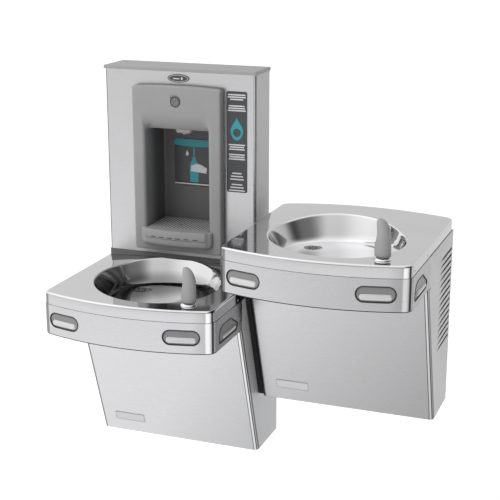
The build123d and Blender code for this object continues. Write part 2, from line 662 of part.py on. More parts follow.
def make_grille():
    """Lift-out drip grille with slanting bars and a front lip."""
    half = ALCOVE_W / 2 - 1
    top = LIP_Z[1]
    front = lip_plan(0, FASCIA_Y)
    plate = prism(front, top - GRILLE_T, top)
    plate &= block((TOWER_X - GRILLE_W / 2, TOWER_X + GRILLE_W / 2), (-200, FASCIA_Y + 1), (0, 200))
    rest = ((TOWER_X - half, TOWER_X + half), (FASCIA_Y, ALCOVE_BACK - 3), (top - GRILLE_T, top))
    plate += block(*rest)
    lip = prism(front - lip_plan(FASCIA_WALL, FASCIA_Y), GRILLE_LIP_Z, top)
    lip &= block((TOWER_X - GRILLE_W / 2, TOWER_X + GRILLE_W / 2), (-200, LIP_SIDE_Y + 7), (0, 200))
    plate += lip
    pitch = (2 * half - 16) / GRILLE_SLOTS
    for row in range(GRILLE_SLOTS):
        x = TOWER_X - half + 8 + pitch * (row + 0.5)
        slot = Pos(x, -80) * Rot(0, 0, 60) * SlotOverall(88, 4.5)
        plate -= prism(slot, top - 10, top + 5) & block((0, UNIT_W), (-133, -24), (0, 200))
    return plate


def make_button():
    """Round fill button with a dimple, a retaining flange and a short stem."""
    face = FASCIA_Y
    disc = upright(Pos(TOWER_X, BUTTON_Z) * Circle(BUTTON_R), face - 1.4, face + FASCIA_WALL + 1)
    disc = fillet(disc.faces().sort_by(Axis.Y)[0].edges(), 0.8)
    disc += upright(Pos(TOWER_X, BUTTON_Z) * Circle(BUTTON_R + 2.4), face + FASCIA_WALL + FIT, face + 5.5)
    disc += upright(Pos(TOWER_X, BUTTON_Z) * Circle(4), face + 5, face + 11)
    return disc - Pos(TOWER_X, face - 4.2, BUTTON_Z) * Sphere(4.0)


def make_picture_panel():
    """Plain panel on the alcove's back wall, with a small ledge along its foot."""
    outline = Pos(TOWER_X, 263) * RectangleRounded(116, 124, 6)
    panel = upright(outline, ALCOVE_BACK - 2.4, ALCOVE_BACK - 0.1)
    return panel + block((TOWER_X - 56, TOWER_X + 56), (ALCOVE_BACK - 6, ALCOVE_BACK - 2), (199, 203))


def make_badge():
    oval = Pos(TOWER_X, 504) * Ellipse(31, 11)
    return upright(oval, TOWER_Y - 1.6, TOWER_Y - 0.1)


def make_decal():
    face = Pos(TOWER_X + 163.5, 344.5) * RectangleRounded(58, 267, 5)
    return upright(face, TOWER_Y - 0.5, TOWER_Y - 0.1)


def make_fill_valve():
    """Filler valve on the tower's back, above the hood."""
    return make_valve(TOWER_X - 60, -40, 440)


def make_fill_tube():
    """Tube from the filler valve down to the nozzle."""
    route = [(TOWER_X - 60, -47, 440), (TOWER_X - 60, -92, 440), (TOWER_X, -92, 432)]
    route += [(TOWER_X, -78, 410), (TOWER_X, -78, 382)]
    return make_tube(route, [20, 12, 10])


# ---- Cooling machine in the right cabinet -----------------------------------------------------------------


def make_compressor():
    """Sealed compressor on its base plate and four feet."""
    profile = [(0, 0), (52, 0), (55, 12), (55, 96), (40, 118), (0, 124)]
    body = revolve(make_face(Polyline([(r, 0, z) for r, z in profile], close=True)), Axis.Z)
    body = Pos(100, -78, -UNIT_H + 14) * body
    body += block((34, 166), (-140, -16), (-UNIT_H + 10.5, -UNIT_H + 14.5))
    for x in (44, 156):
        for y in (-130, -26):
            body += Pos(x, y, -UNIT_H + 6.6) * Cylinder(8, 8)
    return body


def make_condenser():
    """Finned coil beside the louvres."""
    y, z = (-165, -20), (-320, -120)
    body = block((436, 448), y, z)
    for row in range(24):
        low = z[0] + 4 + row * 8.2
        body += block((428, 452), (y[0] + 4, y[1] - 4), (low, low + 1.6))
    return body


FAN_X = (398.0, 416.0)
FAN_Y = -92.0
FAN_Z = -220.0
FAN_SHAFT_R = 3.0


def make_fan_blade():
    """Fan rotor: hub, five pitched blades and its shaft."""
    hub = rod(16, (FAN_X[0], 0, 0), (FAN_X[1], 0, 0))
    hub += rod(FAN_SHAFT_R, (FAN_X[0] - 30, 0, 0), (FAN_X[0] + 5, 0, 0))
    blade = Pos(9, 0, 37) * Rot(0, 0, 35) * Box(2.2, 26, 48)
    for turn in range(5):
        hub += Pos(FAN_X[0], 0, 0) * Rot(72 * turn, 0, 0) * blade
    return Pos(0, FAN_Y, FAN_Z) * hub


def make_fan_motor():
    """Fan motor on a bracket from the chassis back."""
    body = rod(30, (FAN_X[0] - 50, FAN_Y, FAN_Z), (FAN_X[0] - 4, FAN_Y, FAN_Z))
    body += block((FAN_X[0] - 44, FAN_X[0] - 30), (FAN_Y + 10, -5.2), (FAN_Z - 14, FAN_Z + 14))
    return body - rod(FAN_SHAFT_R + 0.05, (FAN_X[0] - 36, FAN_Y, FAN_Z), (FAN_X[0], FAN_Y, FAN_Z))


def make_chiller_tank():
    tank = Pos(262, -78, -300) * Cylinder(56, 190)
    tank = fillet(tank.edges().filter_by(GeomType.CIRCLE), 12)
    return tank + block((240, 284), (-40, -5.2), (-360, -340))


def make_control_box():
    box = block((24, 104), (-70, -5.2), (-330, -250))
    knob = rod(9, (64, -70, -290), (64, -82, -290))
    return fillet(box.edges().filter_by(Axis.Z), 3) + knob


def make_inlet_fitting():
    """Brass water inlet through the chassis floor, for a 3/8 in tube."""
    z = -UNIT_H + 1
    body = Pos(320, -50, z + 12) * Cylinder(9, 50)
    body += Pos(320, -50, z + SHEET + 5.2) * extrude(RegularPolygon(13, 6), 8)
    return body - Pos(320, -50, z) * Cylinder(4.81, 90)


def make_cord_gland():
    """Gland in the chassis floor for the supply cord."""
    z = -UNIT_H + 1
    body = Pos(400, -50, z + 2) * Cylinder(8, 22) + Pos(400, -50, z - 5) * Cylinder(12, 7)
    return body - Pos(400, -50, z) * Cylinder(4.5, 60)


def write(name, shape):
    solids = shape if isinstance(shape, list) else [shape]
    solids = [s for piece in solids for s in piece.solids()]
    whole = solids[0] if len(solids) == 1 else Compound(children=solids)
    export_step(whole, f"parts/{name}.step")


def write_fountain(name, place):
    """Every piece that both fountains share."""
    write(f"{name}_basin", place * BASIN)
    write(f"{name}_apron", place * APRON)
    write(f"{name}_front_panel", place * FRONT_PANEL)
    for word, side in (("left", -1), ("right", 1)):
        louvred = name == "right" and side > 0
        write(f"{name}_side_panel_{word}", place * make_side_panel(side, louvred))
        write(f"{name}_front_pad_{word}", place * make_front_pad(side))
        write(f"{name}_side_pad_{word}", place * make_side_pad(side))
    chassis = make_chassis(HOOKS[name], CORNERS[name][1])
    if name == "right":
        for x, radius in ((320, 9.3), (400, 8.3)):
            chassis -= Pos(x, -50, -UNIT_H) * Cylinder(radius, 20)
    write(f"{name}_chassis", place * chassis)
    write(f"{name}_pad_bezels", [place * frame for frame in make_bezels()])
    write(f"{name}_bubbler_body", place * make_bubbler_body())
    write(f"{name}_bubbler_guard", place * make_guard())
    write(f"{name}_waste_trap", place * make_trap())
    write(f"{name}_water_valve", place * make_valve(*VALVE))
    write(f"{name}_water_tube", place * make_water_tube())


def write_tower(place):
    write("tower_base", place * make_tower_base())
    write("tower_case", place * make_tower_case())
    write("tower_front", place * make_tower_front())
    write("tower_cap", place * make_tower_cap())
    write("fascia", place * make_fascia())
    write("alcove_liner", place * make_liner())
    write("fill_nozzle", place * make_nozzle())
    write("drip_grille", place * make_grille())
    write("fill_button", place * make_button())
    write("picture_panel", place * make_picture_panel())
    write("badge", place * make_badge())
    write("side_decal", place * make_decal())
    write("fill_valve", place * make_fill_valve())
    write("fill_tube", place * make_fill_tube())


def write_cooler(place):
    write("compressor", place * make_compressor())
    write("condenser", place * make_condenser())
    write("fan_blade", place * make_fan_blade())
    write("fan_motor", place * make_fan_motor())
    write("chiller_tank", place * make_chiller_tank())
    write("control_box", place * make_control_box())
    write("inlet_fitting", place * make_inlet_fitting())
    write("cord_gland", place * make_cord_gland())


os.makedirs("parts", exist_ok=True)
BASIN = make_basin()
APRON = make_apron()
FRONT_PANEL = make_front_panel()
for unit, spot in UNITS.items():
    write_fountain(unit, spot)
write("drain_strainers", [spot * make_strainer() for spot in UNITS.values()])
write("pad_switches", [spot * s for spot in UNITS.values() for s in make_switches()])
write("case_screws", [spot * s for name, spot in UNITS.items() for s in make_screws(name)])
write("name_plates", [spot * make_name_plate() for spot in UNITS.values()])
write("wall_plate", make_wall_plate())
write("joining_filler", make_filler_strip())
write_tower(UNITS["left"])
write_cooler(UNITS["right"])
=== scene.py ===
import json
import math

import bmesh
import bpy
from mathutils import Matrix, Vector


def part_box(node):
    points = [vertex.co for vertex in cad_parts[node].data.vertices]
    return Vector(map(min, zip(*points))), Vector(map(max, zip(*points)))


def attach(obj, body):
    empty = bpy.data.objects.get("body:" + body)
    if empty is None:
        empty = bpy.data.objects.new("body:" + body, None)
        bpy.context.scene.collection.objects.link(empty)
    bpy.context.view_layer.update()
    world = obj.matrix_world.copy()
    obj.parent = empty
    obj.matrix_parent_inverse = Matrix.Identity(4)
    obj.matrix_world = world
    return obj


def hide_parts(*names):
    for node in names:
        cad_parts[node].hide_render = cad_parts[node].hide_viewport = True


# Wall-hung drinking fountain: two stainless basins side by side and a bottle filling tower.
# Lengths of the pieces are in millimetres in the frame of the fountain they belong to:
# x from its left side, y into the wall, z from its deck. mesh_piece() turns them into metres.
MM = 0.001

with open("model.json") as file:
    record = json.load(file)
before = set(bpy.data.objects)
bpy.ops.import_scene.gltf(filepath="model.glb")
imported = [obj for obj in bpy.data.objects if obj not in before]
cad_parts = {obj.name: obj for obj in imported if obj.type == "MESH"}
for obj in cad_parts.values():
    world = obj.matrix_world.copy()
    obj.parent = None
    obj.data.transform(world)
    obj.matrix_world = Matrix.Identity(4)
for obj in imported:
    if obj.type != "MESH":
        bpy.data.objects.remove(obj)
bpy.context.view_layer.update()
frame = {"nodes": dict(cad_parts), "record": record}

# ---- Driving dimensions --------------------------------------------------------------------------
UNIT_W = 467.0
MID = UNIT_W / 2
DECK_OVER_APRON = 30.6  # the deck stands this far above its apron's top edge
CORNER_D = 469.0
BOW = 40.0
CORNER_R = 28.0
BOW_R = (MID**2 + BOW**2) / (2 * BOW)
BOW_Y = BOW_R - CORNER_D - BOW
REAR_Y = -3.2
REAR_R = 18.0  # the deck's rear corners
SKIRT_INSET = 1.6
SKIRT_H = 30.0
ROLL_R = 6.0
SHEET = 1.2
RIDGE_H = 12.0
RIDGE_Y = (-200.0, -104.0)  # where the deck starts to rise and where it is fully up
CROWN_R = (MID**2 + RIDGE_H**2) / (2 * RIDGE_H)

BOWL = (236.0, -284.0, 190.0, 168.0, -50.0)  # centre, half axes, direction of the long one
RIM_R = 5.0
WALL_ANGLE = math.radians(64)
BLEND = 15.0  # how softly wall and floor meet
FLOOR_Z = -58.0
FLOOR_RISE = 0.085  # towards the bubbler
FLOOR_CONE = 0.03
DRAIN = (152.0, -208.0)
DRAIN_R = 22.4
BUBBLER = (391.0, -440.0)
GUARD_LEAN = 160.0

PAD = (90.0, 35.0)
PAD_OFFSETS = {-1: 165.0, 1: 157.0}  # from the middle of the bow
PAD_Z = -68.5
PAD_BAR = (76.0, 15.0, 2.35)  # length, height, how far it stands out of the sheet
PAD_BAR_DROP = 7.0
PAD_SINK = 1.2
SIDE_PAD = [(-431.0, -94.0), (-431.0, -54.0), (-352.5, -54.0), (-306.0, -81.5), (-319.0, -94.0)]
SIDE_PAD_R = [5.0, 28.0, 4.0, 6.0, 4.0]
SIDE_BAR = (-364.0, -84.5, 84.0, 13.0)

SLOPE = ((-290.0, -108.2), (-160.0, -500.0))  # the sloping front's top and bottom edge, y and z
PLATE = (90.0, 0.873)  # the name plate's x, and how far down the slope it sits

TOWER_X = 228.0
TOWER_Y = -114.0
FASCIA_HALF = 127.0
FASCIA_Z = (37.0, 487.0)
FASCIA_Y = -138.0
MOULDING_WALL = 2.2
ALCOVE_HALF = 91.0
ALCOVE_BACK = -15.5
HOOD_TOP = 426.0  # where the frame starts to curve into the hood
HOOD_LIP = (-119.0, 370.5)
LIP_HALF = 103.0
LIP_Z = (57.0, 101.0)
LIP_Y = (-165.0, -152.0)  # the bulge's face in the middle and at its ends
GRILLE_HALF = 88.0
GRILLE_Z = (77.0, 101.0)
BUTTON_GAP = 0.4  # round the fill button's widest part, its retaining flange


def place_of(unit):
    """The corner that a fountain's own frame starts from, in the row frame."""
    low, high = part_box(f"{unit}_apron")
    return Vector((low.x, 0.0, high.z + DECK_OVER_APRON * MM))


PLACES = {unit: place_of(unit) for unit in ("left", "right")}


# ---- Mesh helpers --------------------------------------------------------------------------------
def mesh_piece(name, unit, points, faces, smooth=True):
    """A mesh from points in a fountain's own millimetres, placed in the row frame."""
    corner = PLACES[unit]
    mesh = bpy.data.meshes.new(name)
    mesh.from_pydata([corner + Vector(p) * MM for p in points], [], faces)
    mesh.update()
    for polygon in mesh.polygons:
        polygon.use_smooth = smooth
    piece = bpy.data.objects.new(name, mesh)
    bpy.context.scene.collection.objects.link(piece)
    return piece


def ring_faces(rings, count, start=0, caps=(False, False)):
    """Quads between rings of count points each; caps close the first and last ring."""
    faces = []
    for ring in range(rings - 1):
        a = start + ring * count
        b = a + count
        for i in range(count):
            j = (i + 1) % count
            faces.append((a + i, a + j, b + j, b + i))
    if caps[0]:
        faces.append(tuple(start + i for i in reversed(range(count))))
    if caps[1]:
        last = start + (rings - 1) * count
        faces.append(tuple(last + i for i in range(count)))
    return faces


def join_shells(*shells):
    """Several (points, faces) pairs as one."""
    points, faces = [], []
    for more, their_faces in shells:
        base = len(points)
        points += more
        faces += [tuple(base + i for i in face) for face in their_faces]
    return points, faces


def recalc(piece):
    """Turn the faces of a closed mesh outwards."""
    bm = bmesh.new()
    bm.from_mesh(piece.data)
    bmesh.ops.recalc_face_normals(bm, faces=bm.faces)
    bm.to_mesh(piece.data)
    bm.free()


def sharp_edges(piece, angle=35.0):
    piece.data.set_sharp_from_angle(angle=math.radians(angle))


def outline(corners, radii, step=6.0, arc_step=1.5):
    """Rounded polygon as (x, y, outward x, outward y), counter-clockwise corners given."""
    points = []
    count = len(corners)
    arcs = []
    for i in range(count):
        here = Vector(corners[i])
        back = (Vector(corners[i - 1]) - here).normalized()
        ahead = (Vector(corners[(i + 1) % count]) - here).normalized()
        half = back.angle(ahead) / 2
        middle = here + (back + ahead).normalized() * (radii[i] / math.sin(half))
        start = math.atan2(back.x, -back.y)
        turn = math.pi - 2 * half
        arcs.append((middle, radii[i], start, turn))
    for i in range(count):
        middle, radius, start, turn = arcs[i]
        steps = max(3, round(radius * turn / arc_step))
        for k in range(steps + 1):
            a = start + turn * k / steps
            points.append((middle.x + radius * math.cos(a), middle.y + radius * math.sin(a),
                           math.cos(a), math.sin(a)))
        nxt, next_r, next_start, _ = arcs[(i + 1) % count]
        end = Vector(points[-1][:2])
        target = nxt + Vector((math.cos(next_start), math.sin(next_start))) * next_r
        length = (target - end).length
        steps = int(length / step)
        for k in range(1, steps):
            p = end.lerp(target, k / steps)
            points.append((p.x, p.y, math.cos(next_start), math.sin(next_start)))
    return points


def rounded_box(low, high, radius, **steps):
    """Outline of a rectangle with equal rounded corners."""
    corners = [low, (high[0], low[1]), high, (low[0], high[1])]
    return outline(corners, [radius] * 4, **steps)


def stadium(width, height, **steps):
    return rounded_box((-width / 2, -height / 2), (width / 2, height / 2), height / 2 - 0.01, **steps)


def relief(shape, profile, to_space):
    """Closed shell over an outline: profile is a list of (inset, height) rings, first to last."""
    points = []
    for inset, height in profile:
        points += [to_space(x - nx * inset, y - ny * inset, height) for x, y, nx, ny in shape]
    return points, ring_faces(len(profile), len(shape), caps=(True, True))


def quarter(inset, height, radius, steps=5, rising=True):
    """Rings of a rounded edge that turns from a wall into a face."""
    rings = []
    for k in range(steps + 1):
        a = math.pi / 2 * k / steps
        rings.append((inset + radius * (1 - math.cos(a)), height - radius * (1 - math.sin(a))))
    return rings if rising else rings[::-1]


def ease(t):
    t = min(max(t, 0.0), 1.0)
    return t * t * (3 - 2 * t)


# ---- Materials -----------------------------------------------------------------------------------
def new_material(name, colour, rough, metallic=0.0):
    """Principled material: itself, its node tree, its shader and the row frame's coordinates."""
    made = bpy.data.materials.new(name)
    made.use_nodes = True
    tree = made.node_tree
    shader = tree.nodes["Principled BSDF"]
    shader.inputs["Base Color"].default_value = (*colour, 1)
    shader.inputs["Roughness"].default_value = rough
    shader.inputs["Metallic"].default_value = metallic
    return made, tree, shader, coordinates(tree)


def coordinates(tree, kind="Object"):
    return tree.nodes.new("ShaderNodeTexCoord").outputs[kind]


def component(tree, vector, axis):
    split = tree.nodes.new("ShaderNodeSeparateXYZ")
    tree.links.new(vector, split.inputs["Vector"])
    return split.outputs[axis]


def from_vector(tree, kind, vector, output, **settings):
    """The output of a mapping or texture node that reads a vector."""
    node = tree.nodes.new(kind)
    for name, value in settings.items():
        node.inputs[name].default_value = value
    tree.links.new(vector, node.inputs["Vector"])
    return node.outputs[output]


def computed(tree, kind, operation, first, second=None):
    """The value of a maths node whose second operand is a socket, a fixed value or absent."""
    node = tree.nodes.new(kind)
    node.operation = operation
    tree.links.new(first, node.inputs[0])
    if isinstance(second, bpy.types.NodeSocket):
        tree.links.new(second, node.inputs[1])
    elif second is not None:
        node.inputs[1].default_value = second
    return node.outputs["Value"]


def ranged(tree, value, low, high, first=0.0, last=1.0, smooth=False):
    """A value that goes from first to last while another goes from low to high."""
    node = tree.nodes.new("ShaderNodeMapRange")
    if smooth:
        node.interpolation_type = "SMOOTHSTEP"
    for name, number in (("From Min", low), ("From Max", high), ("To Min", first), ("To Max", last)):
        node.inputs[name].default_value = number
    tree.links.new(value, node.inputs["Value"])
    return node.outputs["Result"]


def noise(tree, where, scale, stretch=(1, 1, 1), detail=3.0):
    """Noise stretched along an axis by a small factor there; scale is in cycles per metre."""
    stretched = from_vector(tree, "ShaderNodeMapping", where, "Vector", Scale=stretch)
    return from_vector(tree, "ShaderNodeTexNoise", stretched, "Fac", Scale=scale, Detail=detail)


def vary_colour(tree, shader, value, colour, darker, lighter):
    """Let the base colour drift between two scalings of a colour."""
    ramp = tree.nodes.new("ShaderNodeMix")
    ramp.data_type = "RGBA"
    for side, factor in (("A", darker), ("B", lighter)):
        ramp.inputs[side].default_value = (*(min(1.0, c * factor) for c in colour), 1)
    tree.links.new(value, ramp.inputs["Factor"])
    tree.links.new(ramp.outputs["Result"], shader.inputs["Base Color"])


def vary_rough(tree, shader, value, low, high):
    """Let the roughness follow a noise, whose values lie mostly between a quarter and three quarters."""
    tree.links.new(ranged(tree, value, 0.25, 0.75, low, high), shader.inputs["Roughness"])


def bump(tree, shader, value, distance):
    node = tree.nodes.new("ShaderNodeBump")
    node.inputs["Distance"].default_value = distance
    node.inputs["Strength"].default_value = 1.0
    tree.links.new(value, node.inputs["Height"])
    tree.links.new(node.outputs["Normal"], shader.inputs["Normal"])


def retone(made, factor, other, blend="MIX"):
    """Blend a material's colour with another colour or socket, as far as a factor socket says."""
    tree = made.node_tree
    base = tree.nodes["Principled BSDF"].inputs["Base Color"]
    before = base.links[0].from_socket
    mix = tree.nodes.new("ShaderNodeMix")
    mix.data_type = "RGBA"
    mix.blend_type = blend
    tree.links.new(factor, mix.inputs["Factor"])
    tree.links.new(before, mix.inputs["A"])
    if isinstance(other, bpy.types.NodeSocket):
        tree.links.new(other, mix.inputs["B"])
    else:
        mix.inputs["B"].default_value = (*other, 1)
    tree.links.new(mix.outputs["Result"], base)
    return made


def painted_reflection_bands(made, stops):
    """Painted reflections: tone steel brighter and darker by how far its surface turns from the front to the
    side; flat tops keep theirs.
    """
    tree = made.node_tree
    normal = coordinates(tree, "Normal")
    ramp = tree.nodes.new("ShaderNodeValToRGB")
    ramp.color_ramp.elements.remove(ramp.color_ramp.elements[1])
    for k, (turn, level) in enumerate(stops):
        place = (turn + 1) / 2
        stop = ramp.color_ramp.elements[0] if k == 0 else ramp.color_ramp.elements.new(place)
        stop.position = place
        stop.color = (level, level, level, 1)
    tree.links.new(ranged(tree, component(tree, normal, "X"), -1.0, 1.0), ramp.inputs["Fac"])
    upright = ranged(tree, component(tree, normal, "Z"), 0.3, 0.43, 1.0, 0.0)
    return retone(made, upright, ramp.outputs["Color"], "MULTIPLY")


def painted_shade_ramp(made, direction, low, high, darkest):
    """Painted shade: darken a material steadily in one direction through the object, as a darker end of a
    room does.
    """
    tree = made.node_tree
    along = computed(tree, "ShaderNodeVectorMath", "DOT_PRODUCT", coordinates(tree), direction)
    return retone(made, ranged(tree, along, low, high), (darkest,) * 3, "MULTIPLY")


def steel(name, colour, rough, grain=(1, 1, 60)):
    """Stainless steel: grain runs along the axes whose factor is small."""
    made, tree, shader, where = new_material(name, colour, rough, 1.0)
    fine = noise(tree, where, 18, grain, 6.0)
    vary_colour(tree, shader, fine, colour, 0.94, 1.06)
    vary_rough(tree, shader, fine, rough - 0.05, rough + 0.05)
    bump(tree, shader, fine, 0.02 * MM)
    return made


def polished(name, colour, rough):
    """Mirror-polished sheet with faint cloudy wear."""
    made, tree, shader, where = new_material(name, colour, rough, 1.0)
    cloud = noise(tree, where, 9, (1, 2.5, 1), 4.0)
    vary_rough(tree, shader, cloud, rough * 0.6, rough * 1.5)
    vary_colour(tree, shader, cloud, colour, 0.97, 1.02)
    return made


def painted(name, colour, rough=0.42, metallic=0.0, spread_tone=0.05):
    """Powder-coated sheet with a fine orange-peel surface."""
    made, tree, shader, where = new_material(name, colour, rough, metallic)
    peel = noise(tree, where, 900, detail=2.0)
    cloud = noise(tree, where, 7)
    vary_colour(tree, shader, cloud, colour, 1 - spread_tone, 1 + spread_tone)
    vary_rough(tree, shader, cloud, rough - 0.05, rough + 0.05)
    bump(tree, shader, peel, 0.02 * MM)
    return made


def plastic(name, colour, rough=0.5, texture=1500, depth=0.03):
    """Moulded plastic with a fine spark-eroded texture."""
    made, tree, shader, where = new_material(name, colour, rough)
    grain = noise(tree, where, texture, detail=2.0)
    cloud = noise(tree, where, 14)
    vary_colour(tree, shader, cloud, colour, 0.94, 1.06)
    vary_rough(tree, shader, grain, rough - 0.06, rough + 0.06)
    bump(tree, shader, grain, depth * MM)
    return made


def flecked(name, colour, rough, metallic):
    """Galvanised or cast metal with crystalline flecks."""
    made, tree, shader, where = new_material(name, colour, rough, metallic)
    tone = from_vector(tree, "ShaderNodeTexVoronoi", where, "Distance", Scale=70)
    vary_colour(tree, shader, tone, colour, 0.8, 1.15)
    vary_rough(tree, shader, tone, rough - 0.1, rough + 0.1)
    return made


def painted_depth_shade(made, colour, near, far):
    """Fade a material to another colour between two depths, for a moulding that runs inwards; the darker
    colour is painted shade deeper in, and partly the liner's own darker plastic.
    """
    tree = made.node_tree
    depth = component(tree, coordinates(tree), "Y")
    return retone(made, ranged(tree, depth, near * MM, far * MM, smooth=True), colour)


def painted_bowl_shade(made, axis, radius, top, floor, darkest):
    """Painted shade: darken the inside of a round bowl towards its floor, which sees less of the room."""
    tree = made.node_tree
    where = coordinates(tree)
    flat = from_vector(tree, "ShaderNodeMapping", where, "Vector", Location=(-axis[0], -axis[1], 0),
                       Scale=(1, 1, 0))
    inside = ranged(tree, computed(tree, "ShaderNodeVectorMath", "LENGTH", flat), radius, radius * 0.95)
    deep = ranged(tree, component(tree, where, "Z"), top, floor)
    both = computed(tree, "ShaderNodeMath", "MULTIPLY", inside, deep)
    return retone(made, both, (darkest,) * 3, "MULTIPLY")


def hatched(made, colour, pitch, angle):
    """Fine slanting bars drawn across a material; on the grille these dark bars are painted shade in the gaps
    between its real bars.
    """
    tree = made.node_tree
    turned = from_vector(tree, "ShaderNodeMapping", coordinates(tree), "Vector",
                         Rotation=(0, 0, math.radians(angle)))
    wave = from_vector(tree, "ShaderNodeTexWave", turned, "Fac", Scale=math.pi / 10 / (pitch * MM))
    return retone(made, ranged(tree, wave, 0.6, 0.35), colour)


def grey(level):
    """A neutral colour."""
    return (level, level, level * 1.01)


# painted reflections: how bright steel is painted as it folds from its left side (-1) past its front (0) to
# its right side (1)
ROUND_PAINTED_REFLECTIONS = [(-1.0, 0.3), (-0.6, 0.24), (-0.37, 0.3), (-0.32, 0.66), (0.26, 0.66), (0.33, 0.46), (0.4, 1.0),
              (0.62, 1.0), (0.76, 0.6), (0.81, 0.05), (0.9, 0.05), (0.95, 0.6), (0.99, 0.4), (1.0, 0.38)]
TIGHT_PAINTED_REFLECTIONS = [(-1.0, 0.06), (-0.4, 0.08), (-0.2, 0.4), (-0.1, 0.68), (0.08, 0.68), (0.16, 0.16), (0.24, 0.2),
              (0.34, 1.0), (0.62, 1.0), (0.7, 0.12), (0.8, 0.12), (0.87, 0.6), (0.94, 0.5), (0.97, 0.03),
              (1.0, 0.03)]
# painted shade: brushed and wrapped steel darken towards the right and downwards
FRONT_PAINTED_SHADE = ((1.0, 0.0, -0.6), -0.12, 0.6, 0.56)
# painted shade: the right cabinet's louvres are pressed inwards from its right face, so less light reaches
# them, and their grey is darkened with depth
LOUVRE_PAINTED_SHADE = ((-1.0, 0.0, 0.0), -0.4738, -0.4718, 0.16)
# painted shade where the tower stands over the lower bowl: its axis, its radius, the levels between which it
# darkens, its tone
LOWER_BOWL_PAINTED_SHADE = ((PLACES["left"].x + BOWL[0] * MM, PLACES["left"].y + BOWL[1] * MM), 0.178,
              PLACES["left"].z - 0.02, PLACES["left"].z - 0.05, 0.32)


MATERIALS = {
    # the steels carry painted reflections: bright and dark bands by the direction of their surface
    "polished_steel": painted_reflection_bands(polished("polished_steel", grey(0.82), 0.07), ROUND_PAINTED_REFLECTIONS),
    # the lower bowl's steel also carries painted shade towards its floor
    "lower_bowl_painted_shade_steel": painted_bowl_shade(painted_reflection_bands(polished("lower_bowl_painted_shade_steel", grey(0.82), 0.07), ROUND_PAINTED_REFLECTIONS),
                                  *LOWER_BOWL_PAINTED_SHADE),
    # brushed and wrapped steel also carry painted shade, darker towards the right and downwards
    "brushed_steel": painted_shade_ramp(painted_reflection_bands(steel("brushed_steel", grey(0.82), 0.28), ROUND_PAINTED_REFLECTIONS), *FRONT_PAINTED_SHADE),
    "wrapped_steel": painted_shade_ramp(painted_reflection_bands(steel("wrapped_steel", grey(0.82), 0.3), TIGHT_PAINTED_REFLECTIONS), *FRONT_PAINTED_SHADE),
    "side_panel_grey": painted("side_panel_grey", grey(0.46), 0.42, 0.2),
    # the louvred panel's grey carries painted shade inside the louvres
    "louvred_grey_painted_shade": painted_shade_ramp(painted("louvred_grey_painted_shade", grey(0.46), 0.42, 0.2), *LOUVRE_PAINTED_SHADE),
    "galvanised": flecked("galvanised", (0.55, 0.57, 0.6), 0.45, 1.0),
    "pad_grey": plastic("pad_grey", grey(0.2), 0.42),
    # the pads' raised bars are lighter: painted highlight
    "pad_bar_painted_highlight": plastic("pad_bar_painted_highlight", grey(0.56), 0.35),
    "black_plastic": plastic("black_plastic", grey(0.018), 0.45),
    "chrome": polished("chrome", grey(0.86), 0.05),
    "guard_rubber": plastic("guard_rubber", grey(0.29), 0.5, 1100, 0.05),
    "trap_plastic": plastic("trap_plastic", (0.78, 0.78, 0.74), 0.4),
    "brass": steel("brass", (0.72, 0.52, 0.24), 0.3, (1, 1, 1)),
    "copper": steel("copper", (0.78, 0.42, 0.27), 0.28, (1, 1, 1)),
    "screw_steel": steel("screw_steel", grey(0.5), 0.3, (1, 1, 1)),
    "strainer_steel": steel("strainer_steel", grey(0.2), 0.3, (1, 1, 1)),
    "plate_metal": steel("plate_metal", grey(0.5), 0.3, (1, 1, 40)),
    "tower_grey": painted("tower_grey", grey(0.5), 0.42),
    "cap_grey": painted("cap_grey", grey(0.29), 0.42),
    "base_grey": painted("base_grey", grey(0.11), 0.4),
    "fascia_plastic": plastic("fascia_plastic", grey(0.27), 0.48),
    # the alcove moulding darkens inwards: painted shade, and partly the liner's own darker plastic
    "fascia_moulding": painted_depth_shade(plastic("fascia_moulding", grey(0.27), 0.48), grey(0.1), -118, -60),
    # dark stripes on the grille: painted shade in the gaps between its bars
    "grille_bars": hatched(plastic("grille_bars", grey(0.42), 0.45), grey(0.02), 8.5, -46),
    "liner_plastic": plastic("liner_plastic", grey(0.13), 0.5),
    "nozzle_plastic": plastic("nozzle_plastic", grey(0.45), 0.3),
    "button_plastic": plastic("button_plastic", grey(0.14), 0.4),
    "print_dark": plastic("print_dark", (0.045, 0.046, 0.05), 0.3, 2500, 0.01),
    "print_teal": plastic("print_teal", (0.015, 0.29, 0.33), 0.35, 2500, 0.01),
    "print_white": plastic("print_white", grey(0.6), 0.4, 2500, 0.01),
    "plate_rim": plastic("plate_rim", grey(0.22), 0.4, 2500, 0.01),
    "black_paint": painted("black_paint", grey(0.02), 0.35),
    # the filler is darker and duller than black plastic: its own black and painted shade in the gap between
    # the cabinets
    "filler_black_and_gap_shade": plastic("filler_black_and_gap_shade", grey(0.006), 0.9),
    "fin_aluminium": steel("fin_aluminium", grey(0.75), 0.3, (1, 1, 1)),
    "fan_plastic": plastic("fan_plastic", grey(0.03), 0.45),
    "tank_foam": plastic("tank_foam", grey(0.05), 0.8, 300, 0.4),
    "box_plastic": plastic("box_plastic", grey(0.6), 0.45),
}


def dress(piece, name, body="root", material=None):
    """Give a piece its material slot and its body."""
    piece.data.materials.clear()
    piece.data.materials.append(MATERIALS[material or name])
    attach(piece, body)
    return piece


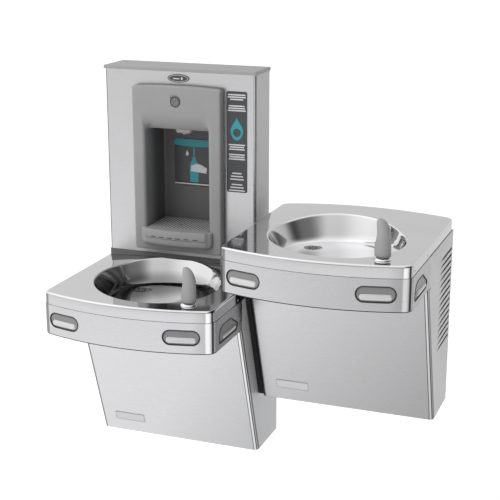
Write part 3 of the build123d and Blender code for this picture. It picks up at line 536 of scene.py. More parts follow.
# ---- Basins --------------------------------------------------------------------------------------
def deck_outline():
    """Plan outline of the cabinet with outward directions: rear, left, bowed front, right."""
    centre_y = BOW_Y - math.sqrt((BOW_R - CORNER_R) ** 2 - (MID - CORNER_R) ** 2)
    lean = math.atan2(MID - CORNER_R, BOW_Y - centre_y)
    points = []

    def arc(x, y, radius, start, turn, step):
        steps = max(3, round(abs(radius * turn) / step))
        for k in range(steps + 1):
            a = start + turn * k / steps
            points.append((x + radius * math.cos(a), y + radius * math.sin(a), math.cos(a), math.sin(a)))

    def line(x, y0, y1, nx):
        steps = round(abs(y1 - y0) / 7)
        for k in range(1, steps):
            points.append((x, y0 + (y1 - y0) * k / steps, nx, 0.0))

    rear = REAR_Y - REAR_R
    arc(REAR_R, rear, REAR_R, math.pi / 2, math.pi / 2, 1.5)
    line(0.0, rear, centre_y, -1.0)
    arc(CORNER_R, centre_y, CORNER_R, math.pi, math.pi / 2 - lean, 1.4)
    arc(MID, BOW_Y, BOW_R, math.pi * 1.5 - lean, 2 * lean, 7)
    arc(UNIT_W - CORNER_R, centre_y, CORNER_R, math.pi * 1.5 + lean, math.pi / 2 - lean, 1.4)
    line(UNIT_W, centre_y, rear, 1.0)
    arc(UNIT_W - REAR_R, rear, REAR_R, 0.0, math.pi / 2, 1.5)
    steps = 70
    for k in range(1, steps):
        points.append((UNIT_W - REAR_R - (UNIT_W - 2 * REAR_R) * k / steps, REAR_Y, 0.0, 1.0))
    kept = []
    for k, point in enumerate(points):
        if math.dist(point[:2], points[k - 1][:2]) > 0.1:
            kept.append(point)
    return kept


def deck_height(x, y):
    """The deck with the soft crown along its back."""
    arch = math.sqrt(CROWN_R**2 - (x - MID) ** 2) - (CROWN_R - RIDGE_H)
    return max(arch, 0.0) * ease((y - RIDGE_Y[0]) / (RIDGE_Y[1] - RIDGE_Y[0]))


def bowl_radius(angle):
    """Distance from the bowl's centre to its rim in a direction."""
    _, _, long, short, turn = BOWL
    a = angle - math.radians(turn)
    return long * short / math.hypot(short * math.cos(a), long * math.sin(a))


def bowl_height(x, y):
    """Height of the bowl's surface: steep wall from the rim, blended into a sloping floor."""
    dx, dy = x - BOWL[0], y - BOWL[1]
    inside = bowl_radius(math.atan2(dy, dx)) - math.hypot(dx, dy)
    if inside <= 0:
        return deck_height(x, y)
    turn_end = RIM_R * math.sin(WALL_ANGLE)
    if inside < turn_end:
        drop = RIM_R - math.sqrt(RIM_R**2 - inside**2)
    else:
        drop = RIM_R * (1 - math.cos(WALL_ANGLE)) + (inside - turn_end) * math.tan(WALL_ANGLE)
    wall = deck_height(x, y) - drop
    fx, fy = x - DRAIN[0], y - DRAIN[1]
    uphill = Vector((BUBBLER[0] - DRAIN[0], BUBBLER[1] - DRAIN[1])).normalized()
    along = fx * uphill.x + fy * uphill.y
    floor = FLOOR_Z + FLOOR_RISE * (math.sqrt(along**2 + 900) + along) / 2 + FLOOR_CONE * math.hypot(fx, fy)
    overlap = max(BLEND - abs(wall - floor), 0.0) / BLEND
    return max(wall, floor) + overlap**2 * BLEND / 4


def basin(unit):
    """Drawn stainless top: bowl, deck, rolled edge and skirt as one sheet."""
    edge = deck_outline()
    count = len(edge)
    wall_rings = [k * 1.25 for k in range(23)]
    deck_rings = 22
    floor_rings = 24
    rims, drains, rays = [], [], []
    for x, y, nx, ny in edge:
        ex, ey = x - nx * (SKIRT_INSET + ROLL_R), y - ny * (SKIRT_INSET + ROLL_R)
        angle = math.atan2(ey - BOWL[1], ex - BOWL[0])
        radius = bowl_radius(angle)
        rim = Vector((BOWL[0] + radius * math.cos(angle), BOWL[1] + radius * math.sin(angle)))
        drain = Vector(DRAIN)
        drains.append(drain + (rim - drain).normalized() * DRAIN_R)
        rims.append(rim)
        rays.append(Vector((ex, ey)))
    rings = []
    rings.append([(p.x, p.y, bowl_height(p.x, p.y) - 4.0) for p in drains])
    rings.append([(p.x, p.y, bowl_height(p.x, p.y) - 1.0) for p in drains])
    for k in range(floor_rings, -1, -1):
        share = (k / floor_rings) ** 1.15
        row = []
        for rim, drain in zip(rims, drains):
            reach = (drain - rim).length
            wall_end = min(wall_rings[-1], reach * 0.8)
            d = wall_end + (reach - 0.6 - wall_end) * share
            p = rim + (drain - rim).normalized() * d
            row.append((p.x, p.y, bowl_height(p.x, p.y)))
        rings.append(row)
    for step in reversed(wall_rings[:-1]):
        row = []
        for rim, drain in zip(rims, drains):
            reach = (drain - rim).length
            d = step * min(1.0, reach * 0.8 / wall_rings[-1])
            p = rim + (drain - rim).normalized() * d
            row.append((p.x, p.y, bowl_height(p.x, p.y)))
        rings.append(row)
    for k in range(deck_rings + 1):
        row = []
        for rim, end in zip(rims, rays):
            first = 0.4 / (end - rim).length
            p = rim.lerp(end, first + (1 - 2 * first) * k / deck_rings)
            row.append((p.x, p.y, deck_height(p.x, p.y)))
        rings.append(row)
    rings.append([(p.x, p.y, deck_height(p.x, p.y)) for p in rays])
    tops = [p[2] for p in rings[-1]]
    for k in range(1, 8):
        a = math.pi / 2 * k / 7
        out, drop = ROLL_R * (1 - math.sin(a)), ROLL_R * (1 - math.cos(a))
        rings.append([(x - nx * (SKIRT_INSET + out), y - ny * (SKIRT_INSET + out), top - drop)
                      for (x, y, nx, ny), top in zip(edge, tops)])
    for z in (-18.0, -SKIRT_H + 0.3, -SKIRT_H - 0.2):
        rings.append([(x - nx * SKIRT_INSET, y - ny * SKIRT_INSET, z) for x, y, nx, ny in edge])
    points = [p for ring in rings for p in ring]
    piece = mesh_piece(f"{unit}_basin_sheet", unit, points, ring_faces(len(rings), count))
    solid = piece.modifiers.new("sheet", "SOLIDIFY")
    solid.thickness = SHEET * MM
    solid.offset = 1.0 if piece.data.polygons[-1].normal.dot(Vector((0, 1, 0))) < 0 else -1.0
    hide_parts(f"{unit}_basin")
    # the left bowl, under the tower, takes the steel with painted shade
    return dress(piece, "polished_steel", material="lower_bowl_painted_shade_steel" if unit == "left" else None)


# ---- Sloping fronts ------------------------------------------------------------------------------
def front_cover(unit):
    """Sheet of the sloping front with its rounded wraps, the pan that closes the bowl's underside, and a
    black strip round the pan's front edge that stands in for the shadow under the apron's lower edge: painted
    shadow.
    """
    radius, depth = 12.0, 13.0
    profile = [(0.0, depth)]
    for k in range(13):
        a = math.pi / 2 * k / 12
        profile.append((radius * (1 - math.cos(a)), radius * (1 - math.sin(a))))
    profile += [(UNIT_W * k / 8, 0.0) for k in range(1, 8)]
    for k in range(13):
        a = math.pi / 2 * k / 12
        profile.append((UNIT_W - radius * (1 - math.sin(a)), radius * (1 - math.cos(a))))
    profile.append((UNIT_W, depth))
    (top_y, top_z), (foot_y, foot_z) = SLOPE
    lean = math.hypot(foot_y - top_y, foot_z - top_z) / abs(foot_z - top_z)
    levels = [0.0, 0.002, 0.25, 0.5, 0.75, 0.998, 1.0]
    points, faces = [], []
    for t in levels:
        y, z = top_y + (foot_y - top_y) * t, top_z + (foot_z - top_z) * t
        points += [(x, y + d * lean, z) for x, d in profile]
    wide = len(profile)
    for k in range(len(levels) - 1):
        for i in range(wide - 1):
            a = k * wide + i
            faces.append((a, a + 1, a + wide + 1, a + wide))
    piece = mesh_piece(f"{unit}_front_cover", unit, points, faces)
    sheet = piece.modifiers.new("sheet", "SOLIDIFY")
    sheet.thickness = SHEET * MM
    sheet.offset = 1.0 if piece.data.polygons[wide // 2].normal.y > 0 else -1.0
    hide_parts(f"{unit}_front_panel")
    # wrapped steel: painted reflections at the wraps and painted shade towards the right and downwards
    dress(piece, "brushed_steel", material="wrapped_steel")
    rim = [(x - nx * 4, y - ny * 4, 0.0, 0.0) for x, y, nx, ny in deck_outline() if y < top_y + 4]
    pan = mesh_piece(f"{unit}_under_pan", unit,
                     *relief(rim, [(0.0, -109.8), (0.0, -108.4)], lambda x, y, z: (x, y, z)), smooth=False)
    recalc(pan)
    dress(pan, "brushed_steel")
    # a black strip round the pan under the apron's lower edge: painted shadow
    rim = [(x, y, nx, ny) for x, y, nx, ny in deck_outline() if y < top_y + 12]
    shadow_strip = mesh_piece(f"{unit}_pan_shadow_strip", unit,
                      *relief(rim, [(1.2, -108.1), (1.2, -110.6), (4.5, -110.9), (4.5, -109.8)],
                              lambda x, y, z: (x, y, z)), smooth=False)
    recalc(shadow_strip)
    dress(shadow_strip, "black_plastic")


# ---- Bubblers ------------------------------------------------------------------------------------
def guard(unit):
    """Flexible guard: an oval column with a waist, a mouth towards the bowl and a rounded hood."""
    turn = math.radians(GUARD_LEAN)
    levels = 44
    around = 56
    keys = [(8.4, 0.0, 19.3, 15.8), (12, 0.0, 20.2, 16.4), (30, 0.4, 20.3, 16.3), (42, -0.4, 18.8, 16.0),
            (50, -1.2, 17.8, 15.8), (60, -1.8, 17.0, 15.2), (72, -0.4, 16.2, 13.8), (82, 2.6, 14.2, 11.6),
            (89, 5.6, 11.2, 9.0), (93, 8.0, 7.4, 6.2), (94.8, 9.2, 2.4, 2.2)]
    rings = []
    for k in range(levels + 1):
        t = k / levels
        z = keys[0][0] + (keys[-1][0] - keys[0][0]) * math.sin(t * math.pi / 2) ** 0.9
        z = min(z, keys[-1][0])
        shift, long, short = between(keys, z)
        row = []
        for i in range(around):
            a = 2 * math.pi * i / around
            mouth = mouth_depth(a, z)
            u, v = shift + (long - mouth) * math.cos(a), short * math.sin(a)
            row.append((BUBBLER[0] + u * math.cos(turn) - v * math.sin(turn),
                        BUBBLER[1] + u * math.sin(turn) + v * math.cos(turn), z))
        rings.append(row)
    points = [p for ring in rings for p in ring]
    piece = mesh_piece(f"{unit}_guard", unit, points, ring_faces(len(rings), around, caps=(True, True)))
    recalc(piece)
    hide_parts(f"{unit}_bubbler_guard")
    return dress(piece, "guard_rubber")


def between(keys, z):
    """Smoothly interpolated values of a list of (height, values...)."""
    for i in range(len(keys) - 1):
        if z <= keys[i + 1][0] or i == len(keys) - 2:
            t = (z - keys[i][0]) / (keys[i + 1][0] - keys[i][0])
            before, after = keys[max(i - 1, 0)], keys[min(i + 2, len(keys) - 1)]
            return [spline(before[n], keys[i][n], keys[i + 1][n], after[n], t) for n in (1, 2, 3)]


def spline(p0, p1, p2, p3, t):
    """Catmull-Rom value between p1 and p2."""
    a = 2 * p1
    b = p2 - p0
    c = 2 * p0 - 5 * p1 + 4 * p2 - p3
    d = -p0 + 3 * p1 - 3 * p2 + p3
    return (a + b * t + c * t * t + d * t**3) / 2


def mouth_depth(angle, z):
    """How far the mouth under the hood is pressed in, at an angle round the guard and a height."""
    across = max(0.0, 1 - abs(math.atan2(math.sin(angle), math.cos(angle))) / 0.75)
    up = ease((z - 40) / 5) * (1 - ease((z - 66) / 8))
    return 7.0 * ease(across * 1.6) * up


def bubbler_base(unit):
    """Chrome mound under the guard, with its shank and nut below the deck."""
    profile = [(0.5, -46), (9.4, -46), (9.4, -10.4), (15, -10.4), (15, -1.6), (9.4, -1.6), (9.4, 0.1)]
    profile += [(20.6, 0.1), (21, 0.5), (20.6, 2.0), (19.4, 3.4), (17, 5.0), (14, 6.4), (11, 7.4), (8, 8.0)]
    profile += [(8, 57), (6.5, 59.4), (4.4, 60), (4.3, 50), (0.5, 49)]
    around = 48
    points = []
    for r, z in profile:
        for i in range(around):
            a = 2 * math.pi * i / around
            points.append((BUBBLER[0] + r * math.cos(a), BUBBLER[1] + r * math.sin(a), z))
    piece = mesh_piece(f"{unit}_bubbler_base", unit, points,
                       ring_faces(len(profile), around, caps=(True, True)))
    recalc(piece)
    sharp_edges(piece, 50)
    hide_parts(f"{unit}_bubbler_body")
    return dress(piece, "chrome")


# ---- Push pads -----------------------------------------------------------------------------------
def front_mapper(side):
    """From a pad's own plane onto the bowed front: along, up and outwards."""
    turn = math.asin(side * PAD_OFFSETS[side] / BOW_R)

    def to_space(along, up, out):
        a = turn + along / BOW_R
        return (MID + (BOW_R + out) * math.sin(a), BOW_Y - (BOW_R + out) * math.cos(a), PAD_Z + up)

    return to_space


def side_mapper(side):
    def to_space(along, up, out):
        return ((-out if side < 0 else UNIT_W + out), along, up)

    return to_space


def pad_piece(name, unit, shape, bar, to_space, node, cap_inset):
    """Push pad: grey face with a rounded edge, and a raised bar on it in lighter plastic, a painted highlight
    of the light it catches.
    """
    face = [(0.6, -9.0), (0.0, -8.6)] + quarter(0.0, -PAD_SINK, 1.4)
    insets = [(k / 4, cap_inset * k / 4) for k in range(1, 5)]
    face += [(inset, -PAD_SINK - 0.25 * ease(t)) for t, inset in insets if inset > 1.6]
    height = PAD_BAR[2]
    bar_rings = [(-1.2, -PAD_SINK - 1.0), (-1.0, -PAD_SINK + 0.1), (-0.2, -PAD_SINK + 0.7)]
    bar_rings += [(0.3, height - 2.0), (0.9, height - 1.0), (2.0, height - 0.35), (3.6, height - 0.02)]
    bar_rings += [(5.4, height)]
    base = relief(shape, face, to_space)
    top = relief(bar, bar_rings, to_space)
    piece = mesh_piece(name, unit, *join_shells(base, top))
    recalc(piece)
    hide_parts(node)
    dress(piece, "pad_grey", node)
    # the raised bar's lighter plastic: painted highlight
    piece.data.materials.append(MATERIALS["pad_bar_painted_highlight"])
    for polygon in piece.data.polygons[len(base[1]):]:
        polygon.material_index = 1
    sharp_edges(piece, 50)
    return piece


def pads(unit):
    for word, side in (("left", -1), ("right", 1)):
        space = front_mapper(side)
        shape = stadium(*PAD)
        bar = [(x, y - PAD_BAR_DROP, nx, ny) for x, y, nx, ny in stadium(PAD_BAR[0] - 2, PAD_BAR[1] - 2)]
        pad_piece(f"{unit}_front_push_{word}", unit, shape, bar, space, f"{unit}_front_pad_{word}", 18.6)
        space = side_mapper(side)
        corners = [SIDE_PAD[k] for k in (0, 4, 3, 2, 1)]
        radii = [SIDE_PAD_R[k] for k in (0, 4, 3, 2, 1)]
        shape = outline(corners, radii)
        y, z, length, high = SIDE_BAR
        bar = [(y + bx, z + by, nx, ny) for bx, by, nx, ny in stadium(length - 2, high - 2)]
        pad_piece(f"{unit}_side_push_{word}", unit, shape, bar, space, f"{unit}_side_pad_{word}", 3.0)


# ---- Tower ---------------------------------------------------------------------------------------
def resampled(half, low, high, radius, foot, arch, y, sides=(24, 60, 24, 60), arc=7):
    """A rounded rectangle with a fixed number of points on each side and corner."""
    points = []
    spans = [((-half + foot, low), (half - foot, low)), ((half, low + foot), (half, high - radius)),
             ((half - radius, high), (-half + radius, high)), ((-half, high - radius), (-half, low + foot))]
    centres = [(half - foot, low + foot, foot, -math.pi / 2), (half - radius, high - radius, radius, 0.0),
               (-half + radius, high - radius, radius, math.pi / 2),
               (-half + foot, low + foot, foot, math.pi)]
    for (a, b), steps, (cx, cz, r, start) in zip(spans, sides, centres):
        for k in range(steps):
            t = k / steps
            points.append((a[0] + (b[0] - a[0]) * t, a[1] + (b[1] - a[1]) * t))
        for k in range(arc):
            angle = start + math.pi / 2 * k / arc
            points.append((cx + r * math.cos(angle), cz + r * math.sin(angle)))
    lifted = []
    for x, z in points:
        top = ease((z - (high - radius - 2)) / (radius + 1))
        lifted.append((TOWER_X + x, y, z + arch * top * (1 - (x / half) ** 2) - arch * top))
    return lifted


def fascia():
    """Moulded frame and alcove in one smooth shell: edge, face, mouth, hood and back."""
    rings = []
    low, high = FASCIA_Z
    back = TOWER_Y - 0.3
    rings.append(resampled(FASCIA_HALF, low, high, 8, 8, 4, back))
    rings.append(resampled(FASCIA_HALF, low, high, 8, 8, 4, FASCIA_Y + 6))
    for k in range(1, 7):
        a = math.pi / 2 * k / 6
        inset = 6 * (1 - math.cos(a))
        rings.append(resampled(FASCIA_HALF - inset, low + inset, high - inset, 8, 8, 4,
                               FASCIA_Y + 6 - 6 * math.sin(a)))
    mouth_low = 80.0
    alcove_low = mouth_low - 4
    alcove_half = ALCOVE_HALF - 0.2
    rings.append(resampled(FASCIA_HALF - 16, low + 16, high - 20, 14, 8, 2.5, FASCIA_Y))
    rings.append(resampled(ALCOVE_HALF + 12, mouth_low - 10, HOOD_TOP + 6, 22, 6, 1, FASCIA_Y))
    mouth = 9.0
    reach = HOOD_LIP[0] - FASCIA_Y
    fall = HOOD_TOP - HOOD_LIP[1]
    hood_r = (fall**2 + reach**2) / (2 * reach)

    def hood(depth):
        """Height of the hood's gently rounded front at a depth behind the frame's face."""
        return HOOD_TOP - math.sqrt(hood_r**2 - (hood_r - depth) ** 2)

    for k in range(0, 8):
        a = math.pi / 2 * k / 7
        inset = mouth * math.sin(a)
        deeper = mouth * (1 - math.cos(a))
        rings.append(resampled(ALCOVE_HALF + mouth - inset, alcove_low, hood(deeper), 22, 5, 0,
                               FASCIA_Y + deeper))
    steps = 6
    for k in range(1, steps + 1):
        t = k / steps
        deeper = mouth + (reach - mouth) * t
        rings.append(resampled(alcove_half, alcove_low, hood(deeper), 22 - 14 * t, 5, 0, FASCIA_Y + deeper))
    ceiling = HOOD_LIP[1] - 1.6
    for y, z in ((HOOD_LIP[0] + 1, HOOD_LIP[1] - 1), (HOOD_LIP[0] + 3, ceiling), (-60, ceiling)):
        rings.append(resampled(alcove_half, alcove_low, z, 8, 5, 0, y))
    for k in range(0, 6):
        a = math.pi / 2 * k / 5
        inset = 7 * (1 - math.cos(a))
        y = ALCOVE_BACK - 7 + 7 * math.sin(a)
        rings.append(resampled(alcove_half - inset, alcove_low + inset, ceiling - inset, 8, 5, 0, y))
    count = len(rings[0])
    points = [p for ring in rings for p in ring]
    faces = ring_faces(len(rings), count, caps=(False, True))
    piece = mesh_piece("fascia_moulding", "left", points, faces)
    recalc(piece)
    sheet = piece.modifiers.new("wall", "SOLIDIFY")
    sheet.thickness = MOULDING_WALL * MM
    sheet.offset = -1.0
    button_hole(piece)
    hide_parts("fascia", "alcove_liner")
    return dress(piece, "fascia_plastic", material="fascia_moulding")


def cut(piece, name, outline_low, outline_high):
    """Take the volume between two matching outlines out of a piece for good."""
    count = len(outline_low)
    cutter = mesh_piece(name, "left", outline_low + outline_high, ring_faces(2, count, caps=(True, True)))
    recalc(cutter)
    change = piece.modifiers.new("cut", "BOOLEAN")
    change.operation = "DIFFERENCE"
    change.solver = "EXACT"
    change.object = cutter
    bpy.context.view_layer.update()
    changed = piece.evaluated_get(bpy.context.evaluated_depsgraph_get())
    shaped = bpy.data.meshes.new_from_object(changed)
    piece.modifiers.clear()
    piece.data = shaped
    bpy.data.objects.remove(cutter)


def button_hole(piece):
    """Open the moulding round the fill button, as wide as the button's flange."""
    low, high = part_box("fill_button")
    middle = ((low + high) / 2 - PLACES["left"]) / MM
    radius = (high.x - low.x) / 2 / MM + BUTTON_GAP
    turns = [math.tau * k / 48 for k in range(48)]
    circle = [(middle.x + radius * math.cos(a), middle.z + radius * math.sin(a)) for a in turns]
    cut(piece, "button_hole", *([(x, y, z) for x, z in circle] for y in (FASCIA_Y - 5, FASCIA_Y + 8)))


def grille_pocket(piece):
    """Open the ledge under the grille, so that the grille sits in it and lifts out."""
    columns = [(GRILLE_HALF + 0.2) * (2 * k / 40 - 1) for k in range(41)]
    plan = [(TOWER_X + x, LIP_Y[0] - 8) for x in columns]
    plan += [(TOWER_X + x, FASCIA_Y + 6) for x in reversed(columns)]
    levels = (GRILLE_Z[0] - 0.5, GRILLE_Z[1] + 10)
    cut(piece, "grille_pocket", *([(x, y, z) for x, y in plan] for z in levels))


def lip_outline(inset, half=LIP_HALF, rear=FASCIA_Y + 1.5, count=40):
    """Plan of the bulge under the alcove: open at the back, bowed in front, round corners."""
    front, ends = LIP_Y[0] + inset, LIP_Y[1] + inset
    half = half - inset
    radius = max(13.0 - inset, 1.0)
    bow = front - ends
    deep = radius * 0.9
    turns = [math.pi / 2 * k / 8 for k in range(1, 8)]
    corner = [(radius * (1 - math.cos(a)), ends + deep - deep * math.sin(a) * 0.9) for a in turns]
    row = [(-half, rear), (-half, ends + deep)] + [(-half + x, y) for x, y in corner]
    inner = half - radius
    for k in range(count + 1):
        x = -inner + 2 * inner * k / count
        row.append((x, ends + bow * (1 - (x / half) ** 2)))
    row += [(half - x, y) for x, y in reversed(corner)]
    return row + [(half, ends + deep), (half, rear)]


def bulge():
    """The ledge below the alcove that carries the grille."""
    low, high = LIP_Z
    levels = [(low, 7.0), (low + 0.6, 4.2), (low + 2.2, 1.9), (low + 5, 0.4), (low + 9, 0.0)]
    levels += [(GRILLE_Z[0] - 4, 0.0), (high - 5, 0.0), (high - 2.4, 0.5), (high - 0.8, 1.6)]
    levels += [(high - 0.2, 3.2)]
    points = []
    for z, inset in levels:
        points += [(TOWER_X + x, y, z) for x, y in lip_outline(inset)]
    count = len(lip_outline(0))
    piece = mesh_piece("fascia_bulge", "left", points, ring_faces(len(levels), count, caps=(True, True)))
    recalc(piece)
    grille_pocket(piece)
    sharp_edges(piece, 60)
    return dress(piece, "fascia_plastic")


def grille_front(x):
    """The bowed front of the grille's lip."""
    return LIP_Y[0] + (LIP_Y[1] - LIP_Y[0]) * (x / LIP_HALF) ** 2 - 0.2


def grille():
    """Lift-out grille: a plate with fine slanting bars, a plain rim and a front lip."""
    half, back = GRILLE_HALF - 0.4, ALCOVE_BACK - 3.5
    bottom, top = GRILLE_Z
    columns = [half * (2 * k / 40 - 1) for k in range(41)]
    plan = [(x, grille_front(x)) for x in columns] + [(x, back) for x in reversed(columns)]
    points = []
    for inset, z in ((0.0, top - 3), (0.0, top - 0.7), (0.5, top)):
        for x, y in plan:
            points.append((TOWER_X + x * (1 - inset / half), y + (inset if y < -100 else -inset), z))
    count = len(plan)
    plate = (points, ring_faces(3, count, caps=(True, False)))
    plate[1].append(tuple(2 * count + i for i in range(count)))
    lip = []
    for inset, z in ((1.2, bottom), (0.0, bottom + 1.2), (0.0, top - 1.4), (1.0, top - 0.2)):
        front = [(TOWER_X + x, grille_front(x) - 0.5 + inset, z) for x in columns]
        lip += front + [(TOWER_X + x, grille_front(x) + 2.5, z) for x in reversed(columns)]
    front_lip = (lip, ring_faces(4, count, caps=(True, True)))
    piece = mesh_piece("grille_plate", "left", *join_shells(plate, front_lip))
    recalc(piece)
    sharp_edges(piece, 40)
    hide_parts("drip_grille")
    dress(piece, "fascia_plastic", "drip_grille")
    # the grille's dark stripes: painted shade in the gaps between its bars
    bars = flat_shapes("grille_hatch", [rounded_box((-half + 7, -30.0), (half - 7, 78.0), 3)],
                       lambda x, z, out: (TOWER_X + x, -100 + z, top + out), 0.15)
    dress(bars, "fascia_plastic", "drip_grille", material="grille_bars")
    # black marks for the lip's slots and the plate's hole: painted shade in these openings
    slots = []
    for k in range(6):
        middle = 24.4 * (k - 2.5)
        slots.append(rounded_box((middle - 7, bottom + 3.4), (middle + 7, bottom + 5.8), 1))
    marks = flat_shapes("grille_slot_shade", slots,
                        lambda x, z, out: (TOWER_X + x, grille_front(x) - 0.5 - out, z), 0.12)
    dress(marks, "black_plastic", "drip_grille")
    hole = flat_shapes("grille_hole_shade", [rounded_box((-16, 8), (-2, 13), 2)],
                       lambda x, z, out: (TOWER_X + x, -100 + z, top + 0.1 + out), 0.12)
    dress(hole, "black_plastic", "drip_grille")


# ---- Printed shapes: plain bars, drops and outlines, no lettering --------------------------------
def flat_shapes(name, shapes, to_space, thick=0.25, unit="left"):
    """Thin shells over several outlines, standing a little way out of a surface."""
    shells = [relief(shape, [(0.0, 0.02), (0.0, thick)], to_space) for shape in shapes]
    piece = mesh_piece(name, unit, *join_shells(*shells), smooth=False)
    recalc(piece)
    return piece


def loop(points):
    """A plain outline for relief(), which needs no directions when nothing is inset."""
    return [(x, z, 0.0, 0.0) for x, z in points]


def drop(x, z, wide, tall):
    """A water drop with its point up."""
    points = []
    for k in range(48):
        a = 2 * math.pi * k / 48
        up = -math.cos(a)
        narrow = 1.0 if up < -0.2 else max(0.0, 1 - ((up + 0.2) / 1.2) ** 1.4)
        points.append((x + wide / 2 * math.sin(a) * narrow, z + tall / 2 * up))
    return loop(points)


def bar(x, z, wide, tall):
    return rounded_box((x - wide / 2, z - tall / 2), (x + wide / 2, z + tall / 2), 0.4)


def ellipse(x, z, wide, tall):
    points = []
    for k in range(64):
        a = 2 * math.pi * k / 64
        points.append((x + wide * math.cos(a), z + tall * math.sin(a)))
    return loop(points)


def on_plane(y):
    """From a sheet's own width and height to a plane facing the front."""
    return lambda x, z, out: (TOWER_X + x, y - out, z)


def printed(name, shapes, to_space, material, unit="left"):
    dress(flat_shapes(name, shapes, to_space, unit=unit), "print_dark", material=material)


def plates(unit):
    """A fine outline round each blank plate at the foot of the sloping fronts."""
    run_y, run_z = SLOPE[1][0] - SLOPE[0][0], SLOPE[1][1] - SLOPE[0][1]
    length = math.hypot(run_y, run_z)
    middle_y, middle_z = SLOPE[0][0] + run_y * PLATE[1], SLOPE[0][1] + run_z * PLATE[1]

    def on_slope(x, up, out):
        proud = out + 0.65
        return (PLATE[0] + x, middle_y - (up * run_y - proud * run_z) / length,
                middle_z - (up * run_z + proud * run_y) / length)

    rim = [bar(0, up, 88, 0.9) for up in (12.5, -12.5)] + [bar(x, 0, 0.9, 25) for x in (-43.6, 43.6)]
    printed(f"{unit}_plate_rim", rim, on_slope, "plate_rim", unit)


def prints():
    """Artwork of the decal, the picture panel and the badge."""
    middle = 163.5
    bars = []
    for z, wide in ((469, 48), (463, 50), (457, 36), (440, 44), (434, 46), (428, 50),
                    (338, 46), (332, 40), (326, 44), (312, 44), (306, 42), (300, 46),
                    (262, 26), (254, 34), (246, 38), (232, 30), (224, 38), (216, 44)):
        bars.append(bar(middle, z, wide, 3.2))
    printed("decal_bars", bars, on_plane(TOWER_Y - 0.5), "print_white")
    printed("decal_drop", [drop(middle, 380, 36, 60)], on_plane(TOWER_Y - 0.5), "print_teal")
    printed("decal_drop_face", [ellipse(middle, 370, 11, 11)], on_plane(TOWER_Y - 0.75), "print_dark")
    face = ALCOVE_BACK - 2.4
    header = [(-58, 308), (-30, 305), (0, 304), (30, 305), (58, 308)]
    header += [(58, 319), (52, 325), (-52, 325), (-58, 319)]
    right = [(12, 206), (13, 250), (11, 258), (5, 268), (5, 276)]
    bottle = [(-12, 206)] + right + [(-x, z) for x, z in reversed(right[1:])]
    teal = [loop(header), loop(bottle), bar(0, 292, 4, 26)]
    printed("panel_teal", teal, on_plane(face), "print_teal")
    # a light bar at the panel's foot: painted highlight on its lit lower lip
    printed("panel_lip_highlight", [bar(0, 201, 112, 3)], on_plane(ALCOVE_BACK - 6), "print_white")
    pale = [drop(-20, 286, 9, 16)]
    pale.append(loop([(-10, 236), (14, 234), (36, 232), (38, 246), (24, 254), (10, 258), (-8, 252)]))
    printed("panel_pale", pale, on_plane(face - 0.25), "print_white")
    for unit in PLACES:
        plates(unit)
    rim = []
    for k in range(64):
        a, b = 2 * math.pi * k / 64, 2 * math.pi * (k + 1) / 64
        quad = ((28, 8.6, a), (28, 8.6, b), (26.8, 7.6, b), (26.8, 7.6, a))
        rim.append(loop([(w * math.cos(t), 504 + h * math.sin(t)) for w, h, t in quad]))
    marks = [drop(10, 504.5, 5, 9), bar(-6, 503, 18, 2.6)]
    printed("badge_rim", rim + marks, on_plane(TOWER_Y - 1.6), "print_white")


# nodes whose material is a variant of their slot's
# the filler's extra-dark black is partly painted shade in the gap between the cabinets
FINISHES = {"tower_front": "wrapped_steel", "tower_cap": "cap_grey", "right_side_panel_right": "louvred_grey_painted_shade",
            "joining_filler": "filler_black_and_gap_shade", "drain_strainers": "strainer_steel"}


# ---- Remaining CAD nodes -------------------------------------------------------------------------
def dress_cad_nodes():
    """Every CAD node that stays in view takes its slot's material."""
    for part in frame["record"]["subparts"]:
        node = frame["nodes"][part["node"]]
        node.data.materials.clear()
        node.data.materials.append(MATERIALS[FINISHES.get(part["node"], part["material_slot"])])


dress_cad_nodes()
for unit in PLACES:
    basin(unit)
    guard(unit)
    bubbler_base(unit)
    front_cover(unit)
    pads(unit)
fascia()
bulge()
grille()
prints()


# ---- Floor, light and camera ---------------------------------------------------------------------
FLOOR_HALF = 30.0
FLOOR_LEVEL = -0.75
FLOOR_GLOW = 0.3  # keeps the pale floor white where the key light doesn't reach
LIGHT_TARGET = Vector((0, -0.25, 0.2))


def floor():
    """A plain pale floor under the object."""
    half = FLOOR_HALF
    mesh = bpy.data.meshes.new("floor")
    corners = [(x, y, FLOOR_LEVEL) for x, y in ((-half, -half), (half, -half), (half, half), (-half, half))]
    mesh.from_pydata(corners, [], [(0, 1, 2, 3)])
    piece = bpy.data.objects.new("floor", mesh)
    bpy.context.scene.collection.objects.link(piece)
    paint = painted("floor_paint", grey(0.92), 0.9, spread_tone=0.0)
    glow = paint.node_tree.nodes["Principled BSDF"].inputs
    glow["Emission Color"].default_value = (1, 1, 1, 1)
    glow["Emission Strength"].default_value = FLOOR_GLOW
    mesh.materials.append(paint)


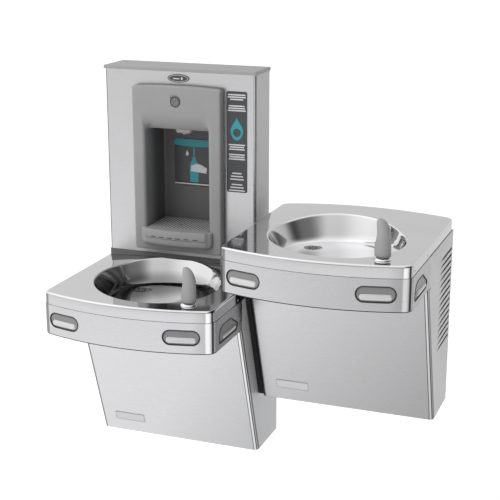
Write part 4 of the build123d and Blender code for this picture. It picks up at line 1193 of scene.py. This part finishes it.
def soft_light(name, azimuth, elevation, distance, size, power):
    """Area light aimed at the object; azimuth 0 is in front, 90 at the right."""
    a, e = math.radians(azimuth), math.radians(elevation)
    away = Vector((math.sin(a) * math.cos(e), -math.cos(a) * math.cos(e), math.sin(e)))
    data = bpy.data.lights.new(name, "AREA")
    data.shape = "RECTANGLE"
    data.size, data.size_y = size
    data.energy = power
    lamp = bpy.data.objects.new(name, data)
    lamp.location = LIGHT_TARGET + away * distance
    lamp.rotation_euler = away.to_track_quat("Z", "Y").to_euler()
    lamp.visible_glossy = False
    bpy.context.scene.collection.objects.link(lamp)
    return lamp


# direction, where a lobe starts and where it is full (cosines), how much light it adds or takes
STUDIO_LOBES = [((0, 0, 1), 0.42, 0.98, 0.35), ((-0.9, -0.1, 0.3), 0.3, 0.95, 0.4),
                ((0.95, -0.25, 0.35), 0.62, 0.96, -0.5), ((1, 0.4, 0), 0.7, 0.98, -0.12)]
STUDIO_LEVEL = 0.64


def studio_world():
    """Soft grey studio: lighter overhead and at the left, darker at the right."""
    world = bpy.data.worlds.new("studio")
    bpy.context.scene.world = world
    world.use_nodes = True
    tree = world.node_tree
    where = coordinates(tree, "Generated")
    value = STUDIO_LEVEL
    for direction, start, end, strength in STUDIO_LOBES:
        toward = Vector(direction).normalized()
        dot = computed(tree, "ShaderNodeVectorMath", "DOT_PRODUCT", where, toward)
        lobe = ranged(tree, dot, start, end, 0.0, strength, smooth=True)
        value = computed(tree, "ShaderNodeMath", "ADD", lobe, value)
    background = tree.nodes["Background"]
    tree.links.new(value, background.inputs["Strength"])
    background.inputs["Color"].default_value = (1, 1, 1, 1)


def camera():
    data = bpy.data.cameras.new("camera")
    data.lens = 86.6
    data.sensor_width = 36.0
    eye = bpy.data.objects.new("camera", data)
    eye.location = (1.037, -3.0, 1.0945)
    eye.rotation_euler = (math.radians(90 - 15.9), 0.0, math.radians(20.57))
    bpy.context.scene.collection.objects.link(eye)
    bpy.context.scene.camera = eye


floor()
studio_world()
soft_light("key", -40, 48, 3.2, (2.4, 1.8), 50)
camera()
bpy.context.scene.view_settings.view_transform = "Standard"
